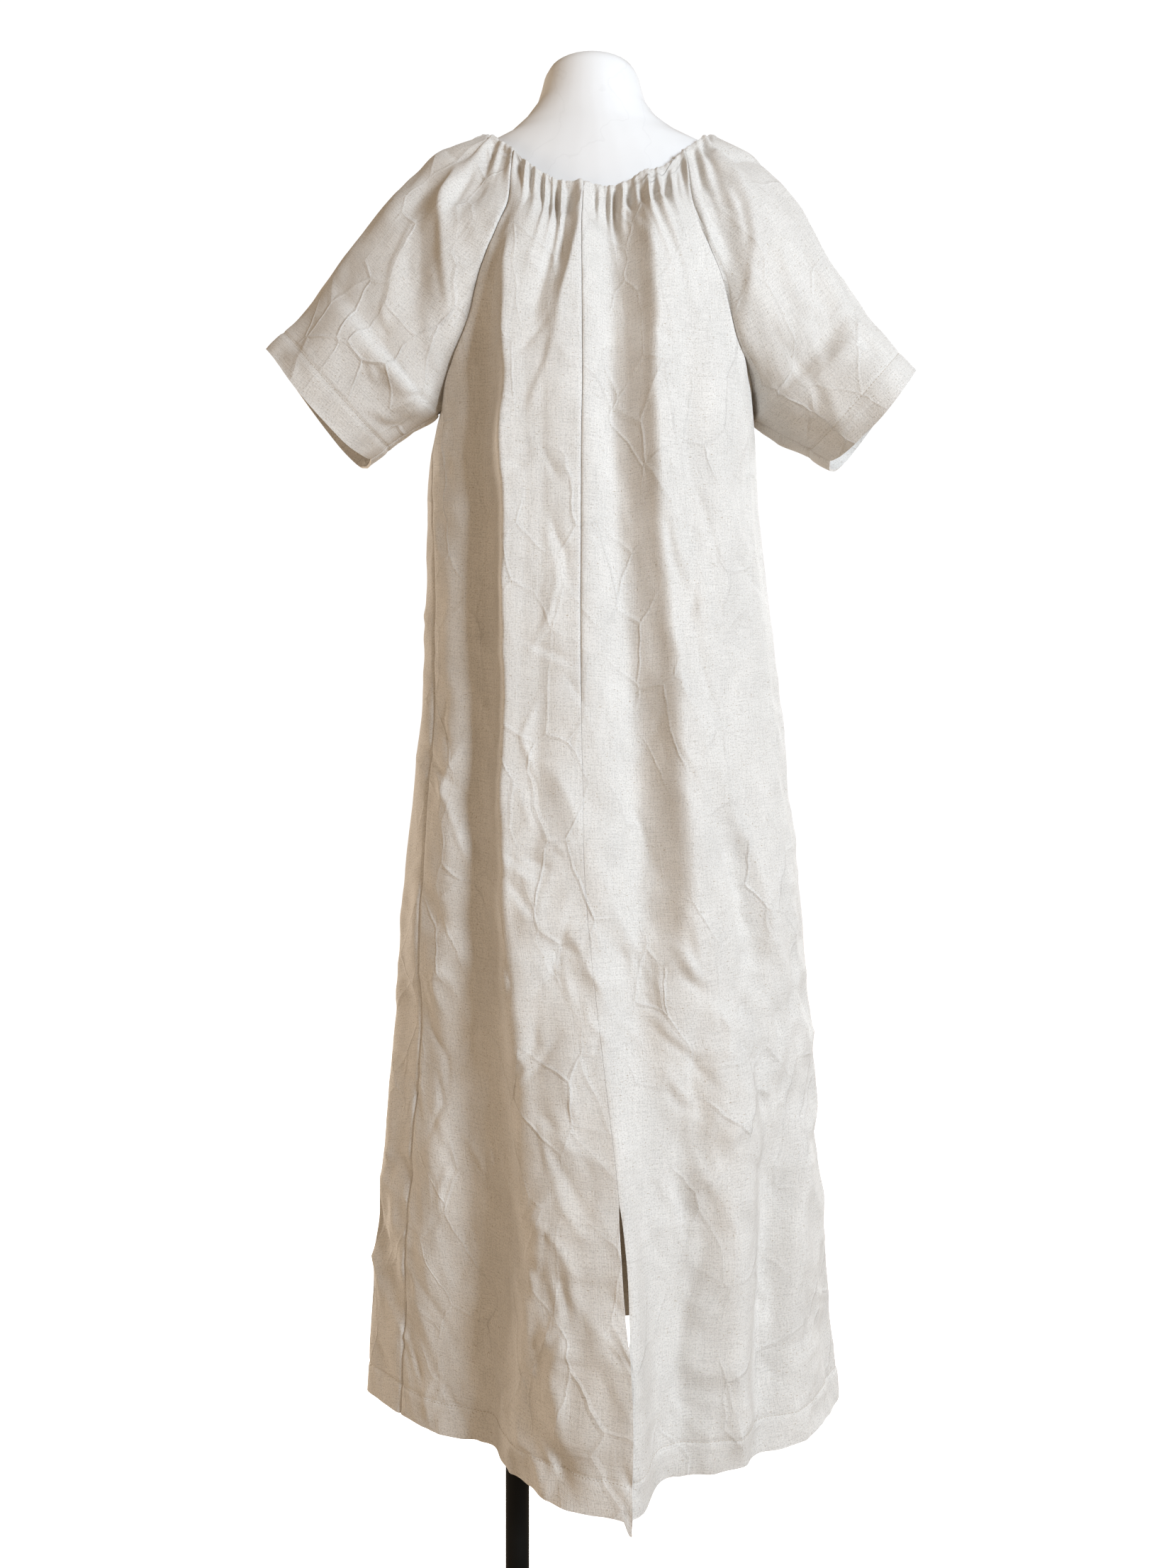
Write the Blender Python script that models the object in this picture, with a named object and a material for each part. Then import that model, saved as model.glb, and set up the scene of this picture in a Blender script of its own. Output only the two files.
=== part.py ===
"""A gathered raglan tunic dress on a limbless dress form with a stand.

Metres, +Z up. The floor is z = 0 and the origin is the centre of the base's
underside. The back of the dress faces -Y, so +X is the wearer's right side.
Each cloth panel is a thin wall: a grid of points on its outer face, with the
rows running down from the neck edge and the columns running round the body.
"""

import math
from collections import namedtuple

import bpy
import numpy as np

# Cloth
CLOTH_WALL = 0.0013
SEAM_GAP = 0.0003

# Gathers of the elasticated neck edge, counted on each panel
BACK_LEFT_GATHERS = 6
BACK_RIGHT_GATHERS = 8
FRONT_GATHERS = 14
SLEEVE_GATHERS = 9
COLUMNS_PER_GATHER = 4
GATHER_DEPTH = 0.0038
GATHER_VARIATION = 0.30

# Rows of the panels. Drop 0 is the neck edge and drop 1 is the underarm level.
YOKE_DROPS = (0.0, 0.035, 0.08, 0.15, 0.25, 0.38, 0.53, 0.68, 0.84, 1.0)
SKIRT_HEIGHTS = (1.27, 1.14, 1.0, 0.87, 0.74, 0.617, 0.52, 0.437, 0.357)
SLEEVE_DROPS = (1.25, 1.5, 1.75, 2.0)
UNDERARM_HEIGHT = 1.386
EVEN_DROP = 0.70
VENT_TOP = 0.617

# Stand
PLATE_RADIUS = 0.160
PLATE_THICKNESS = 0.006
PLATE_BEVEL = 0.002
POLE_X = -0.087
POLE_RADIUS = 0.0125
COLLAR_RADIUS = 0.026
COLLAR_STEP_HEIGHT = 0.010
COLLAR_NECK_RADIUS = 0.019
COLLAR_NECK_HEIGHT = 0.014
COLLAR_HEIGHT = 0.032
SOCKET_RADIUS = 0.021
SOCKET_HEIGHT = 0.050
SOCKET_FLARE = 0.005
FLANGE_RADIUS = 0.040
FLANGE_THICKNESS = 0.006
ROUND_SIDES = 32

# Rings of the dress. Angles are degrees round from the centre back, towards +X.
# Each raglan seam has an angle on the back ring and one on the front ring, which
# meet at the underarm and go on down as the side seam.
Ring = namedtuple(
    "Ring",
    "drop seam_height front_seam_height back_height front_height left right back front"
    " left_back left_front right_front right_back centre_back",
)
RINGS = (
    Ring(0.00, 1.645, 1.640, 1.599, 1.575, 0.119, 0.119, 0.083, 0.100, 47, 128, 128, 46, -8),
    Ring(0.25, 1.580, 1.575, 1.547, 1.528, 0.150, 0.150, 0.110, 0.130, 38, 139, 139, 38, -7),
    Ring(0.50, 1.512, 1.508, 1.494, 1.480, 0.173, 0.170, 0.122, 0.150, 43, 133, 135, 45, -6),
    Ring(0.75, 1.448, 1.446, 1.440, 1.433, 0.172, 0.166, 0.123, 0.160, 54, 118, 124, 57, -6),
    Ring(1.00, 1.386, 1.386, 1.386, 1.386, 0.170, 0.163, 0.123, 0.161, 80, 80, 90, 90, -6),
)

# Rings of the body below the underarm, one row a height. The curve numbers are the
# exponents of the back's two quarters: 2 is an ellipse and 1 is a straight line.
# evenness is 1 where the columns are evenly spaced, and less where they crowd to the
# middle of the panel, so that they keep running straight down.
Skirt = namedtuple(
    "Skirt",
    "height left right back front left_seam right_seam centre_back"
    " left_curve right_curve evenness",
)
SKIRT_RINGS = (
    Skirt(1.386, 0.170, 0.163, 0.123, 0.161, 80, 90, -6, 2.00, 2.00, 0.62),
    Skirt(1.330, 0.179, 0.167, 0.123, 0.161, 75, 90, -6, 2.00, 2.00, 0.63),
    Skirt(1.263, 0.180, 0.172, 0.124, 0.161, 70, 91, -6, 2.00, 2.00, 0.66),
    Skirt(1.148, 0.182, 0.185, 0.127, 0.161, 67, 92, -6, 2.00, 2.00, 0.71),
    Skirt(1.005, 0.194, 0.199, 0.131, 0.163, 64, 93, -5, 1.95, 2.00, 0.79),
    Skirt(0.902, 0.204, 0.210, 0.135, 0.164, 62, 94, -4, 1.85, 1.95, 0.85),
    Skirt(0.777, 0.213, 0.220, 0.141, 0.166, 60, 94, -2, 1.65, 1.90, 0.92),
    Skirt(0.602, 0.231, 0.229, 0.153, 0.168, 58, 94, 2, 1.42, 1.85, 1.00),
    Skirt(0.438, 0.243, 0.242, 0.165, 0.170, 56, 94, 5, 1.30, 1.80, 1.00),
    Skirt(0.357, 0.246, 0.250, 0.170, 0.171, 56, 94, 6, 1.25, 1.80, 1.00),
)

# Sleeve rings. The top line runs from the neck over the shoulder to the cuff. lead is
# the direction in which the ring leaves its seam at the back, and pull is how strongly
# it passes over its top line, which sets how deep it is from back to front.
Sleeve = namedtuple("Sleeve", "drop top_x top_z lead_out lead_back lead_up pull")
SLEEVE_RIGHT = (
    Sleeve(0.00, 0.119, 1.686, 0.063, -0.046, 0.068, 0.060),
    Sleeve(0.25, 0.173, 1.655, 0.100, -0.010, 0.060, 0.140),
    Sleeve(0.50, 0.212, 1.613, 0.120, 0.030, 0.040, 0.210),
    Sleeve(0.75, 0.240, 1.561, 0.120, 0.110, 0.000, 0.270),
    Sleeve(1.00, 0.273, 1.506, 0.030, 0.280, -0.030, 0.310),
    Sleeve(1.50, 0.300, 1.466, 0.010, 0.330, -0.010, 0.330),
    Sleeve(2.00, 0.328, 1.431, 0.050, 0.330, -0.050, 0.330),
)
SLEEVE_LEFT = (
    Sleeve(0.00, 0.119, 1.686, 0.063, -0.046, 0.068, 0.060),
    Sleeve(0.25, 0.170, 1.664, 0.100, -0.010, 0.060, 0.140),
    Sleeve(0.50, 0.218, 1.619, 0.120, 0.030, 0.040, 0.210),
    Sleeve(0.75, 0.254, 1.574, 0.120, 0.100, 0.000, 0.260),
    Sleeve(1.00, 0.286, 1.532, 0.030, 0.250, -0.030, 0.290),
    Sleeve(1.50, 0.317, 1.491, 0.010, 0.300, -0.010, 0.300),
    Sleeve(2.00, 0.346, 1.453, 0.060, 0.300, -0.060, 0.300),
)
# Where the underarm seam of each sleeve meets its cuff
Corner = namedtuple("Corner", "x z")
CUFF_UNDER_RIGHT = Corner(0.245, 1.343)
CUFF_UNDER_LEFT = Corner(-0.243, 1.346)

# Folds of the body. Each runs down a path of (height, x) places and is a trough
# where its depth is negative. The widths are its reach towards -X and towards +X.
Fold = namedtuple("Fold", "face path reach_left reach_right depth")
FOLDS = (
    Fold("back", ((1.66, -0.092), (1.50, -0.104), (0.95, -0.106), (0.62, -0.100)), 0.030, 0.016, -0.017),
    Fold("back", ((1.66, -0.062), (1.50, -0.070), (0.95, -0.068), (0.70, -0.060)), 0.016, 0.030, 0.008),
    Fold("back", ((1.62, 0.030), (1.36, 0.036), (0.94, 0.060), (0.70, 0.052)), 0.028, 0.016, -0.015),
    Fold("back", ((1.62, 0.060), (1.36, 0.066), (0.94, 0.096), (0.75, 0.098)), 0.015, 0.030, 0.007),
    Fold("back", ((0.80, -0.160), (0.36, -0.118)), 0.030, 0.025, -0.012),
    Fold("back", ((0.68, 0.165), (0.36, 0.150)), 0.020, 0.016, -0.010),
    Fold("back", ((0.62, 0.100), (0.36, 0.080)), 0.022, 0.022, -0.007),
    Fold("front", ((1.60, 0.075), (1.30, 0.085), (0.60, 0.100)), 0.016, 0.028, -0.013),
    Fold("front", ((1.58, 0.020), (1.30, 0.030), (0.50, 0.035)), 0.026, 0.026, 0.007),
    Fold("front", ((1.58, -0.040), (1.30, -0.055), (0.45, -0.050)), 0.026, 0.014, -0.013),
    Fold("front", ((1.50, -0.105), (1.20, -0.120), (0.40, -0.130)), 0.026, 0.026, 0.008),
    Fold("front", ((0.95, 0.160), (0.36, 0.150)), 0.026, 0.026, -0.010),
    Fold("front", ((0.80, 0.030), (0.36, -0.010)), 0.030, 0.030, -0.009),
)
FOLD_FADE = 0.10
FOLD_START = 0.25
FOLD_GROWTH = 0.45

# The cloth at the vent stands out to a tip at the hem: how far, one row a height
Flare = namedtuple("Flare", "height reach_out")
VENT_FLARE = (
    Flare(1.00, 0.0),
    Flare(0.85, 0.008),
    Flare(0.74, 0.020),
    Flare(0.617, 0.036),
    Flare(0.50, 0.051),
    Flare(0.357, 0.064),
)
FLARE_LEFT_REACH = 0.130
FLARE_LEFT_POWER = 1.15
FLARE_RIGHT_REACH = 0.022
# How far the two edges of the vent stand apart
VentGap = namedtuple("VentGap", "height width")
VENT_GAPS = (
    VentGap(0.617, 0.0),
    VentGap(0.560, 0.006),
    VentGap(0.510, 0.007),
    VentGap(0.437, 0.002),
    VentGap(0.357, 0.0006),
)

# Folds of a sleeve. across runs from -1 at the back seam to 1 at the front seam.
SleeveFold = namedtuple("SleeveFold", "across_top across_bottom first last reach depth")
SLEEVE_RIGHT_FOLDS = (
    SleeveFold(-0.78, -0.62, 0.02, 0.95, 0.13, -0.009),
    SleeveFold(-0.40, -0.45, 0.02, 1.10, 0.13, -0.010),
    SleeveFold(-0.05, -0.18, 0.05, 0.90, 0.12, -0.005),
    SleeveFold(-0.62, -0.70, 1.00, 2.10, 0.15, -0.007),
    SleeveFold(0.35, 0.45, 0.05, 1.20, 0.13, -0.008),
    SleeveFold(0.72, 0.60, 0.05, 1.80, 0.13, -0.008),
)
SLEEVE_LEFT_FOLDS = (
    SleeveFold(0.72, 0.60, 0.05, 1.00, 0.12, -0.008),
    SleeveFold(0.38, 0.42, 0.02, 1.00, 0.13, -0.010),
    SleeveFold(0.25, 0.30, 0.60, 2.10, 0.14, -0.006),
    SleeveFold(0.70, 0.62, 1.20, 2.10, 0.14, -0.007),
    SleeveFold(-0.30, -0.42, 0.05, 1.10, 0.13, -0.008),
    SleeveFold(-0.70, -0.60, 0.05, 1.70, 0.13, -0.008),
)
SLEEVE_FOLDS = {"sleeve_right": SLEEVE_RIGHT_FOLDS, "sleeve_left": SLEEVE_LEFT_FOLDS}
SLEEVE_FOLD_FADE = 0.30

# How deep the gathers are along the cloth, from the neck edge down
Gather = namedtuple("Gather", "drop share")
GATHER_SHARES = (
    Gather(0.00, 0.60),
    Gather(0.05, 1.00),
    Gather(0.15, 0.90),
    Gather(0.30, 0.45),
    Gather(0.55, 0.12),
    Gather(0.85, 0.0),
    Gather(2.00, 0.0),
)

# Horizontal sections of the dress form, from its underside to the top of the neck.
# squareness is the exponent of the section's curve: 2 is an ellipse, less is a lens.
FormRing = namedtuple("FormRing", "height centre_x half_width back front squareness")
FORM_RINGS = (
    FormRing(0.930, 0.000, 0.140, 0.080, 0.078, 2.0),
    FormRing(0.936, 0.000, 0.152, 0.091, 0.088, 2.0),
    FormRing(0.960, 0.000, 0.160, 0.099, 0.094, 2.0),
    FormRing(1.020, 0.000, 0.160, 0.099, 0.094, 2.0),
    FormRing(1.100, 0.000, 0.143, 0.088, 0.086, 2.0),
    FormRing(1.200, 0.000, 0.120, 0.075, 0.084, 2.0),
    FormRing(1.290, 0.000, 0.130, 0.080, 0.104, 2.0),
    FormRing(1.370, 0.000, 0.143, 0.086, 0.120, 2.0),
    FormRing(1.440, 0.000, 0.155, 0.088, 0.114, 2.0),
    FormRing(1.510, 0.000, 0.166, 0.084, 0.098, 2.0),
    FormRing(1.570, 0.000, 0.172, 0.074, 0.082, 1.9),
    FormRing(1.610, 0.000, 0.168, 0.064, 0.072, 1.8),
    FormRing(1.640, -0.001, 0.161, 0.057, 0.063, 1.7),
    FormRing(1.660, -0.002, 0.1465, 0.0535, 0.0575, 1.6),
    FormRing(1.674, -0.003, 0.1235, 0.0515, 0.0545, 1.6),
    FormRing(1.686, -0.005, 0.094, 0.050, 0.053, 1.7),
    FormRing(1.700, -0.008, 0.072, 0.051, 0.053, 1.9),
    FormRing(1.716, -0.008, 0.0585, 0.051, 0.053, 2.0),
    FormRing(1.732, -0.008, 0.0535, 0.050, 0.052, 2.0),
    FormRing(1.744, -0.008, 0.0505, 0.048, 0.050, 2.0),
    FormRing(1.752, -0.008, 0.046, 0.044, 0.046, 2.0),
    FormRing(1.756, -0.008, 0.036, 0.035, 0.036, 2.0),
)
FORM_SIDES = 36


def clear_scene():
    for thing in list(bpy.data.objects):
        bpy.data.objects.remove(thing, do_unlink=True)


def smooth_value(places, values, at):
    """A smooth curve through (place, value) pairs, read at one place or more."""
    places = np.asarray(places, dtype=float)
    values = np.asarray(values, dtype=float)
    if places[0] > places[-1]:
        places = places[::-1]
        values = values[::-1]
    at = np.clip(at, places[0], places[-1])
    slopes = np.gradient(values, places)
    step = np.clip(np.searchsorted(places, at) - 1, 0, len(places) - 2)
    length = places[step + 1] - places[step]
    t = (at - places[step]) / length
    start = values[step] * (1 + 2 * t) + slopes[step] * length * t
    end = values[step + 1] * (3 - 2 * t) - slopes[step + 1] * length * (1 - t)
    return start * (1 - t) ** 2 + end * t ** 2


def read_row(table, key, at):
    """One row of a table, worked out between its rows."""
    places = [getattr(row, key) for row in table]
    values = {
        name: float(smooth_value(places, [getattr(row, name) for row in table], at))
        for name in table[0]._fields
    }
    return type(table[0])(**values)


def yoke_point(ring, angle):
    """A point of a ring above the underarm, angle in degrees from the centre back."""
    turn = math.radians(angle)
    half_width = ring.right if math.sin(turn) > 0 else ring.left
    x = half_width * math.sin(turn)
    if math.cos(turn) > 0:
        seam = ring.right_back if angle > 0 else ring.left_back
        share = min(1.0, abs(angle) / seam) ** 2
        z = ring.back_height + (ring.seam_height - ring.back_height) * share
        return np.array((x, -ring.back * math.cos(turn), z))
    from_front = 180 - abs((angle + 180) % 360 - 180)
    seam = 180 - (ring.right_front if math.sin(turn) > 0 else ring.left_front)
    share = min(1.0, from_front / max(seam, 1.0)) ** 2
    z = ring.front_height + (ring.front_seam_height - ring.front_height) * share
    return np.array((x, -ring.front * math.cos(turn), z))


def skirt_point(ring, angle):
    """A point of a ring below the underarm, angle in degrees from the centre back."""
    turn = math.radians(angle)
    across = math.sin(turn)
    x = across * (ring.right if across > 0 else ring.left)
    if math.cos(turn) < 0:
        return np.array((x, -ring.front * math.cos(turn), ring.height))
    curve = ring.right_curve if across > 0 else ring.left_curve
    depth = max(0.0, 1 - abs(across) ** curve) ** (1 / curve)
    return np.array((x, -ring.back * depth, ring.height))


def spread(middle, edge, share, evenness):
    """An angle between the middle and the edge of a panel, for a share from 0 to 1."""
    return middle + (edge - middle) * (evenness * share + (1 - evenness) * share ** 4)


def spread_angles(start, end, middle, columns, evenness):
    """The angles of a ring's columns from start to end, on both sides of the middle."""
    angles = []
    for column in range(columns + 1):
        if middle == end:
            angles.append(spread(end, start, 1 - column / columns, evenness))
        elif middle == start:
            angles.append(spread(start, end, column / columns, evenness))
        else:
            share = 2 * column / columns - 1
            angles.append(spread(middle, end if share > 0 else start, abs(share), evenness))
    return angles


def yoke_evenness(drop):
    """1 down to EVEN_DROP, and then falling to the skirt's first ring."""
    share = max(0.0, (drop - EVEN_DROP) / (1 - EVEN_DROP))
    return 1 + (SKIRT_RINGS[0].evenness - 1) * share


def body_grid(columns, yoke_angles, skirt_angles):
    """The base grid of a body panel. Each function gives a ring's start, end and middle."""
    rows = []
    for drop in YOKE_DROPS[:-1]:
        ring = read_row(RINGS, "drop", drop)
        angles = spread_angles(*yoke_angles(ring), columns, yoke_evenness(drop))
        rows.append([yoke_point(ring, angle) for angle in angles])
    for height in (UNDERARM_HEIGHT,) + SKIRT_HEIGHTS:
        ring = read_row(SKIRT_RINGS, "height", height)
        angles = spread_angles(*skirt_angles(ring), columns, ring.evenness)
        rows.append([skirt_point(ring, angle) for angle in angles])
    return np.array(rows)


def hermite(start, lead, end, arrive, share):
    h_start = 2 * share ** 3 - 3 * share ** 2 + 1
    h_lead = share ** 3 - 2 * share ** 2 + share
    h_arrive = share ** 3 - share ** 2
    return h_start * start + h_lead * lead + (1 - h_start) * end + h_arrive * arrive


def sleeve_ring(seam_back, seam_front, row, side, columns):
    """One ring of a sleeve, from its back seam over the top line to its front seam."""
    top = np.array((side * row.top_x, 0.0, row.top_z))
    lead = np.array((side * row.lead_out, -row.lead_back, row.lead_up))
    land = np.array((-side * row.lead_out, -row.lead_back, -row.lead_up))
    over = np.array((0.0, row.pull, 0.0))
    ring = []
    for column in range(columns + 1):
        share = 2 * column / columns
        if share <= 1:
            ring.append(hermite(seam_back, lead, top, over, share))
        else:
            ring.append(hermite(top, over, seam_front, land, share - 1))
    return ring


def sleeve_grid(side, table, cuff_under, columns):
    """The base grid of a sleeve, whose columns run on round from those of the body."""
    body_ring = SKIRT_RINGS[0]
    underarm = skirt_point(body_ring, body_ring.right_seam if side > 0 else -body_ring.left_seam)
    cuff = np.array((cuff_under.x, 0.0, cuff_under.z))
    rows = []
    for drop in YOKE_DROPS + SLEEVE_DROPS:
        row = read_row(table, "drop", drop)
        if drop < 1:
            ring = read_row(RINGS, "drop", drop)
            back = yoke_point(ring, ring.right_back if side > 0 else -ring.left_back)
            front = yoke_point(ring, ring.right_front if side > 0 else -ring.left_front)
        else:
            back = underarm + (cuff - underarm) * (drop - 1)
            front = back
        points = sleeve_ring(back, front, row, side, columns)
        rows.append(points if side > 0 else points[::-1])
    return np.array(rows)


def grid_normals(grid):
    """Outward directions at the points of a grid."""
    down = np.gradient(grid, axis=0)
    round_it = np.gradient(grid, axis=1)
    normals = np.cross(down, round_it)
    return normals / np.linalg.norm(normals, axis=2, keepdims=True)


UNDERARM_ROW = len(YOKE_DROPS) - 1


def seams(cut):
    """Which edge points of which panels are sewn together, as groups of places."""
    groups = []
    for row in range(len(YOKE_DROPS) + len(SKIRT_HEIGHTS)):
        groups.append((("back_left", row, -1), ("back_right", row, 0)))
        if row < UNDERARM_ROW:
            groups.append((("back_right", row, -1), ("sleeve_right", row, 0)))
            groups.append((("sleeve_right", row, -1), ("front", row, 0)))
            groups.append((("front", row, -1), ("sleeve_left", row, 0)))
            groups.append((("sleeve_left", row, -1), ("back_left", row, 0)))
        if row > UNDERARM_ROW:
            groups.append((("back_right", row, -1), ("front", row, 0)))
            groups.append((("front", row, -1), ("back_left", row, 0)))
    groups.append(
        (
            ("back_right", UNDERARM_ROW, -1),
            ("front", UNDERARM_ROW, 0),
            ("sleeve_right", UNDERARM_ROW, 0),
            ("sleeve_right", UNDERARM_ROW, -1),
        )
    )
    groups.append(
        (
            ("back_left", UNDERARM_ROW, 0),
            ("front", UNDERARM_ROW, -1),
            ("sleeve_left", UNDERARM_ROW, 0),
            ("sleeve_left", UNDERARM_ROW, -1),
        )
    )
    for name in ("sleeve_left", "sleeve_right"):
        for row in range(UNDERARM_ROW + 1, len(cut[name])):
            groups.append(((name, row, 0), (name, row, -1)))
    return groups


def share_at_seams(values, groups, unit):
    """Gives the points that are sewn together one common value."""
    for group in groups:
        common = sum(values[name][row, column] for name, row, column in group)
        common = common / (np.linalg.norm(common) if unit else len(group))
        for name, row, column in group:
            values[name][row, column] = common


def fade_in_out(place, first, last, fade):
    """1 between first and last, and falling to 0 over the fade at both ends."""
    inside = min(place - first, last - place) / fade + 1
    share = min(1.0, max(0.0, inside))
    return share * share * (3 - 2 * share)


def bump(distance, reach_left, reach_right):
    reach = reach_left if distance < 0 else reach_right
    return math.exp(-((distance / reach) ** 2))


def body_folds(point):
    """How far the folds move a point of the body outwards."""
    x, y, z = point
    face = "back" if y < 0 else "front"
    depth = 0.0
    for fold in FOLDS:
        if fold.face != face:
            continue
        heights = [place[0] for place in fold.path]
        places = [place[1] for place in fold.path]
        centre = float(smooth_value(heights, places, z))
        share = fade_in_out(z, heights[-1] + FOLD_FADE / 2, heights[0] - FOLD_FADE / 2, FOLD_FADE)
        depth += fold.depth * share * bump(x - centre, fold.reach_left, fold.reach_right)
    return depth


def vent_flare(point, seam_x):
    """How far the cloth beside the vent stands out from the ring."""
    x, y, z = point
    if y > 0 or z > VENT_FLARE[0].height:
        return 0.0
    reach_out = float(read_row(VENT_FLARE, "height", z).reach_out)
    distance = x - seam_x
    if distance < 0:
        return reach_out * max(0.0, 1 + distance / FLARE_LEFT_REACH) ** FLARE_LEFT_POWER
    return reach_out * bump(distance, FLARE_RIGHT_REACH, FLARE_RIGHT_REACH)


def sleeve_folds(folds, drop, across):
    depth = 0.0
    for fold in folds:
        share = (drop - fold.first) / (fold.last - fold.first)
        centre = fold.across_top + (fold.across_bottom - fold.across_top) * share
        half = SLEEVE_FOLD_FADE / 2
        strength = fade_in_out(drop, fold.first + half, fold.last - half, SLEEVE_FOLD_FADE)
        depth += fold.depth * strength * bump(across - centre, fold.reach, fold.reach)
    return depth


def gather_wave(first_gather, column, drop):
    """The gathers as a wave round the neck edge, uneven from one to the next."""
    share = float(smooth_value([g.drop for g in GATHER_SHARES], [g.share for g in GATHER_SHARES], drop))
    gather = first_gather + column / COLUMNS_PER_GATHER
    uneven = 1 + GATHER_VARIATION * math.sin(2.4 * round(gather))
    return GATHER_DEPTH * share * uneven * math.cos(2 * math.pi * gather)


# Panels in their order round the neck: how many gathers each has
GATHERS = {
    "back_left": BACK_LEFT_GATHERS,
    "back_right": BACK_RIGHT_GATHERS,
    "sleeve_right": SLEEVE_GATHERS,
    "front": FRONT_GATHERS,
    "sleeve_left": SLEEVE_GATHERS,
}


def first_gathers():
    """The number of the first gather of each panel."""
    count = 0
    first = {}
    for name, gathers in GATHERS.items():
        first[name] = count
        count += gathers
    return first


def base_panels():
    columns = {name: gathers * COLUMNS_PER_GATHER for name, gathers in GATHERS.items()}
    return {
        "back_left": body_grid(
            columns["back_left"],
            lambda ring: (-ring.left_back, ring.centre_back, ring.centre_back),
            lambda ring: (-ring.left_seam, ring.centre_back, ring.centre_back),
        ),
        "back_right": body_grid(
            columns["back_right"],
            lambda ring: (ring.centre_back, ring.right_back, ring.centre_back),
            lambda ring: (ring.centre_back, ring.right_seam, ring.centre_back),
        ),
        "front": body_grid(
            columns["front"],
            lambda ring: (ring.right_front, 360 - ring.left_front, 180),
            lambda ring: (ring.right_seam, 360 - ring.left_seam, 180),
        ),
        "sleeve_right": sleeve_grid(
            1, SLEEVE_RIGHT, CUFF_UNDER_RIGHT, columns["sleeve_right"]
        ),
        "sleeve_left": sleeve_grid(
            -1, SLEEVE_LEFT, CUFF_UNDER_LEFT, columns["sleeve_left"]
        ),
    }


def row_drop(row):
    drops = YOKE_DROPS + SLEEVE_DROPS
    return drops[row] if row < len(drops) else drops[-1]


def moves_outwards(name, grid, seam_x):
    """How far each point of a panel moves out, for its folds, gathers and vent flare."""
    rows, columns = grid.shape[:2]
    first_gather = first_gathers()[name]
    moves = np.zeros((rows, columns, 1))
    for row in range(rows):
        drop = row_drop(row)
        for column in range(columns):
            point = grid[row, column]
            across = 2 * column / (columns - 1) - 1
            move = gather_wave(first_gather, column, drop)
            if name in SLEEVE_FOLDS:
                move += sleeve_folds(SLEEVE_FOLDS[name], drop, across)
            else:
                move += body_folds(point) * min(1.0, FOLD_START + drop / FOLD_GROWTH)
                move += vent_flare(point, seam_x[row])
            moves[row, column] = move
    return moves


def displace(cut, normals):
    """Adds the folds, the gathers and the flare at the vent to the base grids."""
    seam_x = cut["back_left"][:, -1, 0]
    return {
        name: grid + normals[name] * moves_outwards(name, grid, seam_x)
        for name, grid in cut.items()
    }


def inset_edges(cut, normals):
    """Draws each panel's sewn edges back by half the seam gap."""
    for name, grid in cut.items():
        along = np.gradient(grid, axis=0)
        for edge, neighbour in ((0, 1), (-1, -2)):
            inward = grid[:, neighbour] - grid[:, edge]
            tangent = along[:, edge] / np.linalg.norm(along[:, edge], axis=1, keepdims=True)
            inward = inward - (inward * tangent).sum(axis=1, keepdims=True) * tangent
            inward = inward / np.linalg.norm(inward, axis=1, keepdims=True)
            grid[:, edge] += inward * SEAM_GAP / 2
        if name.startswith("sleeve"):
            outward = grid[UNDERARM_ROW + 1] - grid[UNDERARM_ROW]
            for edge in (0, -1):
                grid[UNDERARM_ROW, edge] += (
                    outward[edge] / np.linalg.norm(outward[edge]) * SEAM_GAP
                )
    return cut


def open_vent(cut):
    """Parts the two back panels below the top of the vent."""
    for row, height in enumerate(SKIRT_HEIGHTS, start=UNDERARM_ROW + 1):
        if height >= VENT_TOP:
            continue
        gap = read_row(VENT_GAPS, "height", height).width
        cut["back_left"][row, -1, 0] -= gap / 2
        cut["back_right"][row, 0, 0] += gap / 2
    return cut


def wall_from_grid(name, outer, normals, material):
    """A closed wall: the outer grid, the grid one wall thickness inside, and its rims."""
    rows, columns = outer.shape[:2]
    inner = outer - normals * CLOTH_WALL
    points = np.concatenate([outer.reshape(-1, 3), inner.reshape(-1, 3)])
    inside = rows * columns

    def at(row, column):
        return row * columns + column

    faces = []
    for row in range(rows - 1):
        for column in range(columns - 1):
            a = at(row, column)
            b = at(row + 1, column)
            c = at(row + 1, column + 1)
            d = at(row, column + 1)
            across = np.linalg.norm(points[a] - points[c]) < np.linalg.norm(points[b] - points[d])
            halves = ((a, b, c), (a, c, d)) if across else ((a, b, d), (b, c, d))
            for p, q, r in halves:
                faces.append((p, q, r))
                faces.append((inside + r, inside + q, inside + p))
    rim = [at(0, column) for column in range(columns - 1, 0, -1)]
    rim += [at(row, 0) for row in range(rows - 1)]
    rim += [at(rows - 1, column) for column in range(columns - 1)]
    rim += [at(row, columns - 1) for row in range(rows - 1, 0, -1)]
    for p, q in zip(rim, rim[1:] + rim[:1]):
        faces.append((q, p, inside + p))
        faces.append((q, inside + p, inside + q))
    mesh = bpy.data.meshes.new(name)
    mesh.from_pydata(points.tolist(), [], faces)
    return add_object(name, mesh, material)


def add_object(name, mesh, material):
    mesh.materials.append(material)
    mesh.shade_smooth()
    mesh.set_sharp_from_angle(angle=math.radians(35))
    thing = bpy.data.objects.new(name, mesh)
    bpy.context.scene.collection.objects.link(thing)
    return thing


def principled(name, colour, roughness, metallic=0.0):
    material = bpy.data.materials.new(name)
    material.use_nodes = True
    shader = material.node_tree.nodes["Principled BSDF"]
    shader.inputs["Base Color"].default_value = (*colour, 1.0)
    shader.inputs["Roughness"].default_value = roughness
    shader.inputs["Metallic"].default_value = metallic
    return material


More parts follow.
